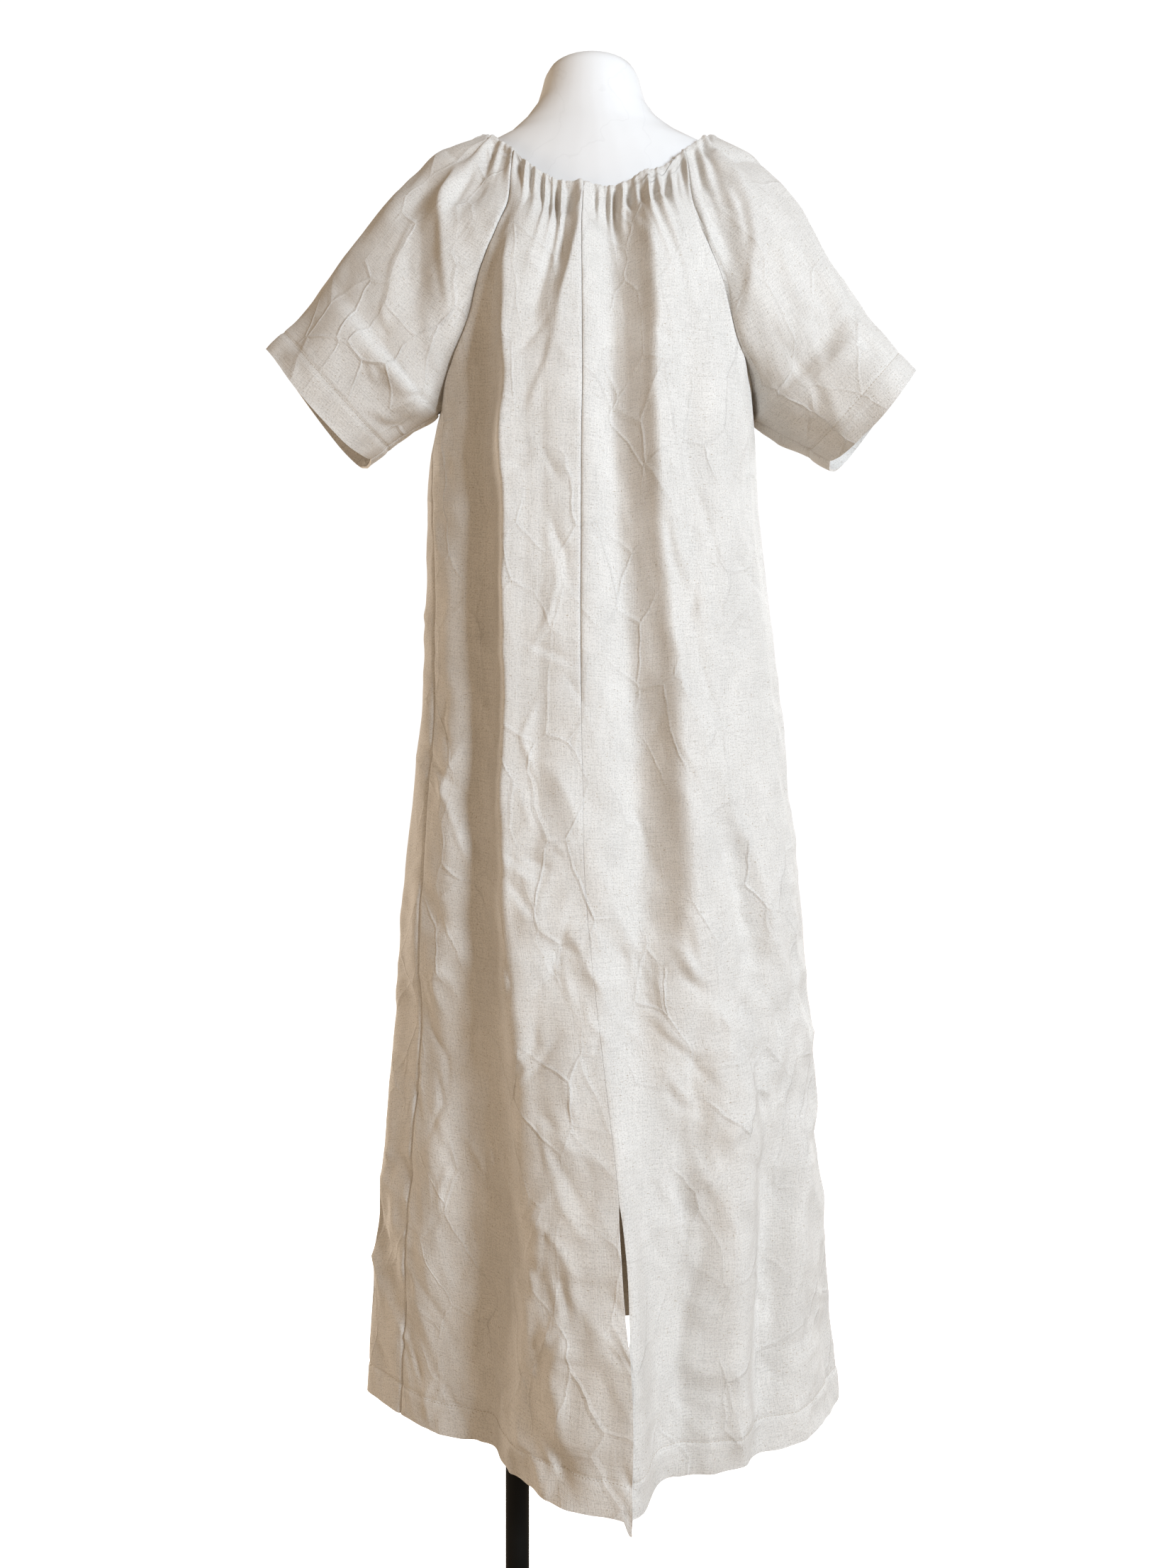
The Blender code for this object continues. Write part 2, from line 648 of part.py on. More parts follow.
def build_dress():
    linen = (0.66, 0.59, 0.50)
    cut = base_panels()
    groups = seams(cut)
    share_at_seams(cut, groups, unit=False)
    normals = {name: grid_normals(grid) for name, grid in cut.items()}
    share_at_seams(normals, groups, unit=True)
    cut = displace(cut, normals)
    share_at_seams(cut, groups, unit=False)
    cut = open_vent(cut)
    normals = {name: grid_normals(grid) for name, grid in cut.items()}
    share_at_seams(normals, groups, unit=True)
    cut = inset_edges(cut, normals)
    for name, grid in cut.items():
        wall_from_grid(name, grid, normals[name], principled(f"{name}_cloth", linen, 0.9))


def loft(name, rings, material):
    """A closed solid through a list of rings, with flat ends."""
    sides = len(rings[0])
    points = [point for ring in rings for point in ring]
    faces = []
    for ring in range(len(rings) - 1):
        for side in range(sides):
            after = (side + 1) % sides
            low = ring * sides
            high = low + sides
            faces.append((low + side, low + after, high + after, high + side))
    faces.append(tuple(range(sides - 1, -1, -1)))
    faces.append(tuple(range(len(points) - sides, len(points))))
    mesh = bpy.data.meshes.new(name)
    mesh.from_pydata([tuple(point) for point in points], [], faces)
    return add_object(name, mesh, material)


def signed_power(value, power):
    return math.copysign(abs(value) ** power, value)


def build_form():
    """The smooth torso with its neck and no limbs."""
    rings = []
    for row in FORM_RINGS:
        ring = []
        for side in range(FORM_SIDES):
            turn = 2 * math.pi * side / FORM_SIDES
            depth = row.front if math.sin(turn) > 0 else row.back
            power = 2 / row.squareness
            x = row.centre_x + row.half_width * signed_power(math.cos(turn), power)
            ring.append((x, depth * signed_power(math.sin(turn), power), row.height))
        rings.append(ring)
    loft("form_torso", rings, principled("form_white", (0.78, 0.78, 0.78), 0.45))


def turned_rings(profile, centre_x=0.0):
    """Rings of a turned solid from (radius, height) pairs."""
    rings = []
    for radius, height in profile:
        turns = [2 * math.pi * side / ROUND_SIDES for side in range(ROUND_SIDES)]
        rings.append(
            [(centre_x + radius * math.cos(t), radius * math.sin(t), height) for t in turns]
        )
    return rings


def turned_tube(name, outer, bore, centre_x, material):
    """A turned ring: the outer profile going up and the bore coming down."""
    bottom = outer[0][1]
    top = outer[-1][1]
    rings = turned_rings(outer + [(bore, top), (bore, bottom)], centre_x)
    sides = ROUND_SIDES
    points = [point for ring in rings for point in ring]
    faces = []
    for ring in range(len(rings)):
        low = ring * sides
        high = (ring + 1) % len(rings) * sides
        for side in range(sides):
            after = (side + 1) % sides
            faces.append((low + side, low + after, high + after, high + side))
    mesh = bpy.data.meshes.new(name)
    mesh.from_pydata(points, [], faces)
    return add_object(name, mesh, material)


def build_stand():
    black = (0.012, 0.012, 0.011)
    plate_profile = [
        (PLATE_RADIUS - PLATE_BEVEL, 0.0),
        (PLATE_RADIUS, PLATE_BEVEL),
        (PLATE_RADIUS, PLATE_THICKNESS - PLATE_BEVEL),
        (PLATE_RADIUS - PLATE_BEVEL, PLATE_THICKNESS),
    ]
    loft("base_plate", turned_rings(plate_profile), principled("plate_black", black, 0.5, 0.6))

    seat = PLATE_THICKNESS + SEAM_GAP
    form_under = FORM_RINGS[0].height
    pole_top = form_under - SEAM_GAP
    pole_profile = [(POLE_RADIUS, seat), (POLE_RADIUS, pole_top)]
    loft("pole", turned_rings(pole_profile, POLE_X), principled("pole_black", black, 0.4, 0.6))

    bore = POLE_RADIUS + SEAM_GAP
    collar_profile = [
        (COLLAR_RADIUS, seat),
        (COLLAR_RADIUS, seat + COLLAR_STEP_HEIGHT),
        (COLLAR_NECK_RADIUS, seat + COLLAR_NECK_HEIGHT),
        (COLLAR_NECK_RADIUS, seat + COLLAR_HEIGHT),
    ]
    turned_tube("base_collar", collar_profile, bore, POLE_X, principled("collar_black", black, 0.4, 0.6))

    socket_profile = [
        (SOCKET_RADIUS, pole_top - SOCKET_HEIGHT),
        (SOCKET_RADIUS, pole_top - FLANGE_THICKNESS - SOCKET_FLARE),
        (SOCKET_RADIUS + SOCKET_FLARE, pole_top - FLANGE_THICKNESS),
        (FLANGE_RADIUS, pole_top - FLANGE_THICKNESS),
        (FLANGE_RADIUS, pole_top),
    ]
    turned_tube("pole_socket", socket_profile, bore, POLE_X, principled("socket_black", black, 0.4, 0.6))


clear_scene()
build_dress()
build_form()
build_stand()
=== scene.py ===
"""A natural linen tunic dress on its limbless dress form, seen in a plain pale studio.

Metres, +Z up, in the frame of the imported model. The back of the dress faces -Y. Each
cloth panel is a grid of points on its outer face: rows run down from the neck edge and
columns run round the body, from the centre back towards +X.
"""

import math
from collections import namedtuple
from itertools import accumulate, product

import bpy
import numpy as np
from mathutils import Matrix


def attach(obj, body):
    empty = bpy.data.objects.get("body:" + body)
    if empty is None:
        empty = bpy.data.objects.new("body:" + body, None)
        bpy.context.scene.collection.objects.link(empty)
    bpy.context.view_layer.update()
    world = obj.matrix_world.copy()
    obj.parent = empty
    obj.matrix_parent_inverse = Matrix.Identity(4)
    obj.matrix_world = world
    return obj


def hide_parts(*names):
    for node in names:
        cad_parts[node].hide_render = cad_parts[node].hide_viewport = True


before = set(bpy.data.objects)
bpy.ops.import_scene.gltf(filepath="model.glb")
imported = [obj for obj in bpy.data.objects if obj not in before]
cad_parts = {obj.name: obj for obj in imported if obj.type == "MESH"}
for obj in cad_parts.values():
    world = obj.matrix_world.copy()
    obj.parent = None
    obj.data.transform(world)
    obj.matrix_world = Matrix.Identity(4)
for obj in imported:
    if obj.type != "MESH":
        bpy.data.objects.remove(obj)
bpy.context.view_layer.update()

MM = 0.001
# Size of the repeating block of random values behind the soft noise
NOISE_CELLS = 32

# Cloth
CLOTH_WALL = 0.0013
HEM_WALL = 0.0024
NECK_WALL = 0.0030
SEAM_GAP = 0.0006
CLOSED_GAP = 0.0002
HEM_DEPTH = 0.030
CUFF_DEPTH = 0.027
# The doubled cloth of a turning gets thinner from here above its stitch line, over this reach
HEM_STEP_START = 0.002
HEM_STEP_REACH = 0.003
# Where the cloth bends more sharply than this, in degrees, it shows an edge
SHARP_ANGLE = 60
# How much the grain follows each column's own length, rather than the mean one
GRAIN_OWN = 0.3

# Grid of the panels
BODY_COLUMNS = {"back_left": 92, "back_right": 104, "front": 112}
SLEEVE_COLUMNS = 132
EDGE_COLUMNS = (0.0, 0.003, 0.0065, 0.012)
MIDDLE_START = 0.020
SPREAD_POWER = 4
YOKE_ROWS = 90
YOKE_EVENNESS = 0.35
YOKE_POWER = 1.6
SKIRT_ROWS = 290
SLEEVE_ROWS = 32
UNDERARM_HEIGHT = 1.386
EVEN_DROP = 0.70
HEM_HEIGHT = 0.357
VENT_TOP = 0.617
# Rows beside a stitch line, and the row beside the hem's or the cuff's edge
LINE_ROWS = np.arange(-2, 3)
HEM_LINE_STEP = 0.0014
HEM_LINE_CLEAR = 0.0042
HEM_EDGE_ROW = 0.0012
CUFF_LINE_STEP = 0.014
CUFF_LINE_CLEAR = 0.04
CUFF_EDGE_ROW = 1.99
# Mean length of a sleeve below the underarm
SLEEVE_BELOW = 0.093
# Rounding of the body at the underarm: rows on either side, and how often
UNDERARM_ROWS = 10
UNDERARM_TURNS = 12

# The neck edge of the back: how far down its own line reaches, the extra exponents of its
# two halves, and how high and how wide, in degrees, its middle rises
NECK_LINE_DROP = 0.5
NECK_CURVE_RIGHT = 0.3
NECK_CURVE_LEFT = 0.8
NECK_RISE = 0.0045
NECK_RISE_REACH = 14

# The valley along each seam and the puckers beside it. Low down, the centre back seam is
# nearly hidden.
SEAM_SHOWS_DOWN_TO = 1.05
SEAM_FADE = 0.08
SEAM_HIDDEN = 0.08
SEAM_DIP = 0.0022
SEAM_DIP_REACH = 0.0011
SEAM_PUCKER = 0.0005
SEAM_PUCKER_REACH = 0.009
SEAM_PUCKER_SIZE = 0.011
SEAM_PUCKER_SEED = 5

# The groove of the stitches of the hem and the cuffs, and the swell of the doubled cloth
HEM_GROOVE = 0.0007
HEM_GROOVE_REACH = 0.0016
HEM_SWELL = 0.0006
HEM_SWELL_REACH = 0.006
STITCH_LENGTH = 0.0028
STITCH_SPACING = 0.0036
STITCH_RADIUS = 0.00035
STITCH_LIFT = 0.0001
STITCH_SIDES = 5
STITCH_PARTS = (0.0, 0.25, 0.75, 1.0)

# Rings of the dress. Angles are degrees round from the centre back, towards +X.
# Each raglan seam has an angle on the back ring and one on the front ring, which
# meet at the underarm and go on down as the side seam.
Ring = namedtuple(
    "Ring",
    "drop seam_height front_seam_height back_height front_height left right back front"
    " left_back left_front right_front right_back centre_back",
)
RINGS = (
    Ring(0.00, 1.645, 1.640, 1.599, 1.575, 0.119, 0.119, 0.083, 0.100, 47, 128, 128, 46, -8),
    Ring(0.25, 1.580, 1.575, 1.547, 1.528, 0.150, 0.150, 0.110, 0.130, 38, 139, 139, 38, -7),
    Ring(0.50, 1.512, 1.508, 1.494, 1.480, 0.173, 0.170, 0.122, 0.150, 43, 133, 135, 45, -6),
    Ring(0.75, 1.448, 1.446, 1.440, 1.433, 0.172, 0.166, 0.123, 0.160, 54, 118, 124, 57, -6),
    Ring(1.00, 1.386, 1.386, 1.386, 1.386, 0.170, 0.163, 0.123, 0.161, 80, 80, 90, 90, -6),
)

# Rings of the body below the underarm. The curve numbers are the exponents of the
# back's two quarters, and evenness is how evenly the columns are spaced.
Skirt = namedtuple(
    "Skirt",
    "height left right back front left_seam right_seam centre_back"
    " left_curve right_curve evenness",
)
SKIRT_RINGS = (
    Skirt(1.386, 0.170, 0.163, 0.123, 0.161, 80, 90, -6, 2.00, 2.00, 0.62),
    Skirt(1.330, 0.179, 0.167, 0.123, 0.161, 75, 90, -6, 2.00, 2.00, 0.63),
    Skirt(1.263, 0.180, 0.172, 0.124, 0.161, 70, 91, -6, 2.00, 2.00, 0.66),
    Skirt(1.148, 0.182, 0.185, 0.127, 0.161, 67, 92, -6, 2.00, 2.00, 0.71),
    Skirt(1.005, 0.194, 0.199, 0.131, 0.163, 64, 93, -5, 1.95, 2.00, 0.79),
    Skirt(0.902, 0.204, 0.210, 0.135, 0.164, 62, 94, -4, 1.85, 1.95, 0.85),
    Skirt(0.777, 0.213, 0.220, 0.141, 0.166, 60, 94, -0.5, 1.65, 1.90, 0.92),
    Skirt(0.602, 0.231, 0.229, 0.153, 0.168, 58, 94, 3.8, 1.42, 1.85, 1.00),
    Skirt(0.438, 0.243, 0.242, 0.165, 0.170, 56, 94, 4.8, 1.30, 1.80, 1.00),
    Skirt(0.357, 0.246, 0.250, 0.170, 0.171, 56, 94, 4.4, 1.25, 1.80, 1.00),
)

# Sleeve rings: the top line from the neck over the shoulder to the cuff, the direction
# in which the ring leaves its back seam, and how strongly it passes over the top line.
Sleeve = namedtuple("Sleeve", "drop top_x top_z lead_out lead_back lead_up pull")
SLEEVE_RIGHT = (
    Sleeve(0.00, 0.119, 1.686, 0.063, -0.046, 0.068, 0.060),
    Sleeve(0.25, 0.173, 1.655, 0.100, -0.010, 0.060, 0.140),
    Sleeve(0.50, 0.212, 1.613, 0.120, 0.030, 0.040, 0.210),
    Sleeve(0.75, 0.240, 1.561, 0.120, 0.110, 0.000, 0.270),
    Sleeve(1.00, 0.273, 1.506, 0.030, 0.280, -0.030, 0.310),
    Sleeve(1.50, 0.300, 1.466, 0.010, 0.330, -0.010, 0.330),
    Sleeve(2.00, 0.328, 1.431, 0.050, 0.330, -0.050, 0.330),
)
SLEEVE_LEFT = (
    Sleeve(0.00, 0.119, 1.686, 0.063, -0.046, 0.068, 0.060),
    Sleeve(0.25, 0.170, 1.664, 0.100, -0.010, 0.060, 0.140),
    Sleeve(0.50, 0.218, 1.619, 0.120, 0.030, 0.040, 0.210),
    Sleeve(0.75, 0.254, 1.574, 0.120, 0.100, 0.000, 0.260),
    Sleeve(1.00, 0.286, 1.532, 0.030, 0.250, -0.030, 0.290),
    Sleeve(1.50, 0.317, 1.491, 0.010, 0.300, -0.010, 0.300),
    Sleeve(2.00, 0.346, 1.453, 0.060, 0.300, -0.060, 0.300),
)
# Soft folds, each down a path of (height, x) places. A negative depth is a trough.
Fold = namedtuple("Fold", "face path reach_left reach_right depth")
FOLDS = (
    Fold("back", ((0.80, -0.160), (0.36, -0.118)), 0.034, 0.028, -0.011),
    Fold("back", ((0.68, 0.175), (0.36, 0.163)), 0.020, 0.016, -0.009),
    Fold("back", ((0.75, 0.125), (0.36, 0.122)), 0.030, 0.026, 0.014),
    Fold("back", ((0.70, 0.085), (0.36, 0.070)), 0.018, 0.018, -0.007),
    Fold("back", ((0.60, 0.036), (0.36, 0.044)), 0.009, 0.014, -0.0045),
    Fold("back", ((1.35, 0.100), (1.15, 0.118), (0.95, 0.150)), 0.014, 0.016, -0.004),
    Fold("back", ((1.50, 0.078), (1.36, 0.083), (1.20, 0.090)), 0.010, 0.014, -0.005),
    Fold(
        "back", ((1.45, -0.138), (1.20, -0.148), (0.90, -0.152), (0.60, -0.170)),
        0.012, 0.016, 0.005,
    ),
    Fold("back", ((1.45, 0.108), (1.20, 0.120), (1.00, 0.140)), 0.016, 0.014, 0.003),
    Fold("back", ((1.52, -0.010), (1.25, -0.012), (1.00, -0.010)), 0.014, 0.014, 0.0015),
    Fold("front", ((1.60, 0.075), (1.30, 0.085), (0.60, 0.100)), 0.016, 0.028, -0.013),
    Fold("front", ((1.58, 0.020), (1.30, 0.030), (0.50, 0.035)), 0.026, 0.026, 0.007),
    Fold("front", ((1.58, -0.040), (1.30, -0.055), (0.45, -0.050)), 0.026, 0.014, -0.013),
    Fold("front", ((1.50, -0.105), (1.20, -0.120), (0.40, -0.130)), 0.026, 0.026, 0.008),
    Fold("front", ((0.95, 0.160), (0.36, 0.150)), 0.026, 0.026, -0.010),
    Fold("front", ((0.80, 0.030), (0.36, -0.010)), 0.030, 0.030, -0.009),
)
FOLD_FADE = 0.10
FOLD_START = 0.25
FOLD_GROWTH = 0.45

# Folds like a saw tooth: from a trough the cloth rises to a sharp crest on its right.
# The path is the crest's, rise is how wide the slope up to it is, and edge rounds it off.
# Each row of shares is a height, the fold's strength there and how much softer its crest is.
Step = namedtuple("Step", "path shares trough trough_reach rise ridge ridge_reach edge")
STEPS = (
    Step(
        ((1.66, -0.086), (1.57, -0.089), (1.41, -0.090), (1.25, -0.089), (1.07, -0.089),
         (0.93, -0.089), (0.80, -0.083), (0.70, -0.070), (0.58, -0.060), (0.36, -0.055)),
        (
            (1.66, 0.25, 1.0), (1.57, 0.60, 1.0), (1.45, 0.95, 1.0),
            (0.95, 1.00, 1.3), (0.80, 0.85, 2.6), (0.70, 0.70, 3.6),
            (0.58, 0.40, 4.5), (0.40, 0.06, 6.0), (0.36, 0.05, 6.0),
        ),
        0.015, 0.026, 0.032, 0.018, 0.034, 0.0030,
    ),
    Step(
        ((1.64, 0.042), (1.56, 0.044), (1.48, 0.049), (1.40, 0.050), (1.30, 0.051),
         (1.24, 0.055), (1.16, 0.063), (1.09, 0.070), (1.00, 0.075), (0.90, 0.080), (0.76, 0.070)),
        (
            (1.64, 0.30, 1.0), (1.57, 0.80, 1.0), (1.45, 1.00, 1.0),
            (1.20, 1.00, 1.4), (1.00, 1.15, 1.8), (0.88, 1.00, 2.4),
            (0.78, 0.50, 4.0), (0.70, 0.00, 5.0), (0.36, 0.00, 5.0),
        ),
        0.020, 0.026, 0.036, 0.014, 0.042, 0.0030,
    ),
    Step(
        ((1.60, -0.018), (1.56, -0.021), (1.50, -0.030), (1.447, -0.039), (1.42, -0.041)),
        (
            (1.61, 0.40, 1.0), (1.56, 1.00, 1.0), (1.46, 1.00, 1.0),
            (1.43, 0.00, 2.0), (0.36, 0.00, 2.0),
        ),
        0.005, 0.010, 0.022, 0.005, 0.016, 0.0016,
    ),
    Step(
        ((0.98, 0.128), (0.92, 0.147), (0.83, 0.175), (0.77, 0.188)),
        (
            (1.66, 0.00, 1.0), (1.03, 0.00, 1.0), (0.94, 1.00, 1.0),
            (0.86, 1.00, 1.5), (0.78, 0.00, 2.0), (0.36, 0.00, 2.0),
        ),
        0.007, 0.014, 0.022, 0.005, 0.022, 0.0022,
    ),
    Step(
        ((0.62, 0.205), (0.56, 0.190), (0.49, 0.179), (0.36, 0.172)),
        (
            (1.66, 0.00, 1.0), (0.66, 0.00, 1.0), (0.56, 0.90, 1.0),
            (0.44, 1.00, 1.5), (0.36, 0.90, 2.0),
        ),
        0.008, 0.016, 0.020, 0.006, 0.030, 0.0026,
    ),
    Step(
        ((0.62, -0.045), (0.50, -0.060), (0.36, -0.075)),
        (
            (1.66, 0.00, 1.0), (0.66, 0.00, 1.0), (0.54, 0.80, 2.0),
            (0.44, 0.80, 2.0), (0.36, 0.40, 3.0),
        ),
        0.010, 0.030, 0.040, 0.003, 0.040, 0.0030,
    ),
)
# They fade out at the sides, start with this share of their slope, fall off beyond the crest
# by this exponent, and wander by (how far, how finely, seed)
SIDE_FADE = 0.035
SLOPE_START = 0.3
CREST_POWER = 1.15
WANDER_LENGTH = 0.07
WANDER_APART = 1.4
WANDERS = ((0.0028, 1.0, 7), (0.0012, 3.1, 8))

# The sleeves rest on the form's shoulders above this height and beyond this place
SHOULDER_REST = 1.662
SHOULDER_START = 0.118
SHOULDER_FADE_DOWN = 0.03
SHOULDER_FADE_IN = 0.012
SHOULDER_PLAY = 0.0002
SHOULDER_FREE = 0.014

# The folds of the sleeves' backs that rise to a sharp crest
SLEEVE_STEPS = (
    Step(
        ((1.62, 0.094), (1.56, 0.1055), (1.50, 0.118), (1.432, 0.134)),
        (
            (1.655, 0.0, 1.0), (1.61, 0.9, 1.0), (1.50, 1.0, 1.3),
            (1.40, 0.0, 2.0), (1.30, 0.0, 2.0),
        ),
        0.009, 0.016, 0.022, 0.005, 0.020, 0.0022,
    ),
    Step(
        ((1.63, 0.118), (1.59, 0.132), (1.555, 0.1415), (1.513, 0.1465), (1.443, 0.142)),
        (
            (1.655, 0.0, 1.0), (1.61, 0.9, 1.0), (1.52, 1.0, 1.3),
            (1.43, 0.0, 2.0), (1.30, 0.0, 2.0),
        ),
        0.010, 0.014, 0.020, 0.006, 0.024, 0.0022,
    ),
    Step(
        ((1.62, -0.150), (1.5925, -0.1593), (1.555, -0.1616), (1.503, -0.1567), (1.44, -0.146)),
        (
            (1.655, 0.0, 1.0), (1.60, 0.9, 1.0), (1.50, 1.0, 1.3),
            (1.41, 0.0, 2.0), (1.30, 0.0, 2.0),
        ),
        0.009, 0.020, 0.030, 0.005, 0.016, 0.0022,
    ),
)
# The hidden front has the two main folds too, the other way round and weaker
FRONT_STEP_SHIFT = -0.012
FRONT_STEP_SHARE = 0.6

# The cloth at the vent stands out to a tip at the hem: (height, how far)
VENT_FLARE = (
    (1.00, 0.0),
    (0.85, 0.008),
    (0.74, 0.020),
    (0.617, 0.036),
    (0.50, 0.051),
    (0.357, 0.064),
)
FLARE_LEFT_REACH = 0.130
FLARE_LEFT_POWER = 1.15
FLARE_RIGHT_REACH = 0.022
# How far the two edges of the vent stand apart: (height, width)
VENT_GAPS = (
    (0.617, 0.0),
    (0.600, 0.0026),
    (0.570, 0.0042),
    (0.530, 0.0040),
    (0.505, 0.0018),
    (0.490, -0.0006),
    (0.465, -0.0022),
    (0.430, -0.0025),
    (0.357, -0.0025),
)
# How far into each panel that reaches, and how far the right edge lies behind the left one
VENT_REACH = 0.016
VENT_TUCK = 0.0036
VENT_TUCK_FADE = 0.12
# The left edge's corner hangs a little lower, as a small tab
TAB_TOP = 0.40
TAB_DROP = 0.012
TAB_WIDTH = 0.0055
TAB_POWER = 4

# Folds of a sleeve. across runs from -1 at the back seam to 1 at the front seam.
SleeveFold = namedtuple("SleeveFold", "across_top across_bottom first last reach depth")
SLEEVE_RIGHT_FOLDS = (
    SleeveFold(-0.78, -0.62, 0.02, 0.95, 0.13, -0.006),
    SleeveFold(-0.40, -0.45, 0.02, 1.10, 0.13, -0.007),
    SleeveFold(-0.05, -0.18, 0.05, 0.90, 0.12, -0.005),
    SleeveFold(-0.62, -0.70, 1.00, 2.10, 0.15, -0.007),
    SleeveFold(0.35, 0.45, 0.05, 1.20, 0.13, -0.008),
    SleeveFold(0.72, 0.60, 0.05, 1.80, 0.13, -0.008),
)
SLEEVE_LEFT_FOLDS = (
    SleeveFold(0.72, 0.60, 0.05, 1.00, 0.12, -0.005),
    SleeveFold(0.38, 0.42, 0.02, 1.00, 0.13, -0.007),
    SleeveFold(0.25, 0.30, 0.60, 2.10, 0.14, -0.006),
    SleeveFold(0.70, 0.62, 1.20, 2.10, 0.14, -0.007),
    SleeveFold(-0.30, -0.42, 0.05, 1.10, 0.13, -0.008),
    SleeveFold(-0.70, -0.60, 0.05, 1.70, 0.13, -0.008),
)
SLEEVE_FOLD_FADE = 0.30

# Each sleeve: its side of the body, its rings, where its underarm seam meets its cuff, and
# its folds
SleeveCut = namedtuple("SleeveCut", "side table cuff_x cuff_z folds")
SLEEVES = {
    "sleeve_right": SleeveCut(1, SLEEVE_RIGHT, 0.245, 1.343, SLEEVE_RIGHT_FOLDS),
    "sleeve_left": SleeveCut(-1, SLEEVE_LEFT, -0.243, 1.346, SLEEVE_LEFT_FOLDS),
}

# Gathers of the neck edge: where the troughs are along each panel's top edge
GATHER_TROUGHS = {
    "back_left": (0.15, 0.29, 0.47, 0.57, 0.66, 0.79),
    "back_right": (0.09, 0.20, 0.29, 0.41, 0.53, 0.62, 0.75, 0.90),
    "sleeve_right": (0.06, 0.16, 0.26, 0.38, 0.48, 0.61, 0.72, 0.83, 0.94),
    "front": (
        0.04, 0.10, 0.19, 0.25, 0.33, 0.38, 0.47, 0.55, 0.60, 0.69, 0.75, 0.82, 0.90, 0.96,
    ),
    "sleeve_left": (0.05, 0.18, 0.27, 0.40, 0.50, 0.62, 0.71, 0.84, 0.93),
}
GATHER_DEPTH = 0.0031
GATHER_DEPTHS = (0.25, 1.7)
GATHER_LENGTHS = (0.30, 1.25)
GATHER_SEED = 21
GATHER_DRAWS = 64
GATHER_LEAN = 0.11
GATHER_DENT = 0.15
GATHER_DENT_MEAN = 0.27
# How strong the gathers are: (drop, share)
GATHER_SHARES = (
    (0.00, 0.18),
    (0.05, 0.72),
    (0.12, 1.00),
    (0.25, 0.60),
    (0.45, 0.20),
    (0.80, 0.0),
    (2.00, 0.0),
)
PUCKER_DEPTH = 0.0005
PUCKER_DROP = 0.045
PUCKERS_A_GATHER = 2.5
PUCKER_PHASE = 1.3
NECK_ROLL = 0.0012
NECK_ROLL_DROP = 0.030

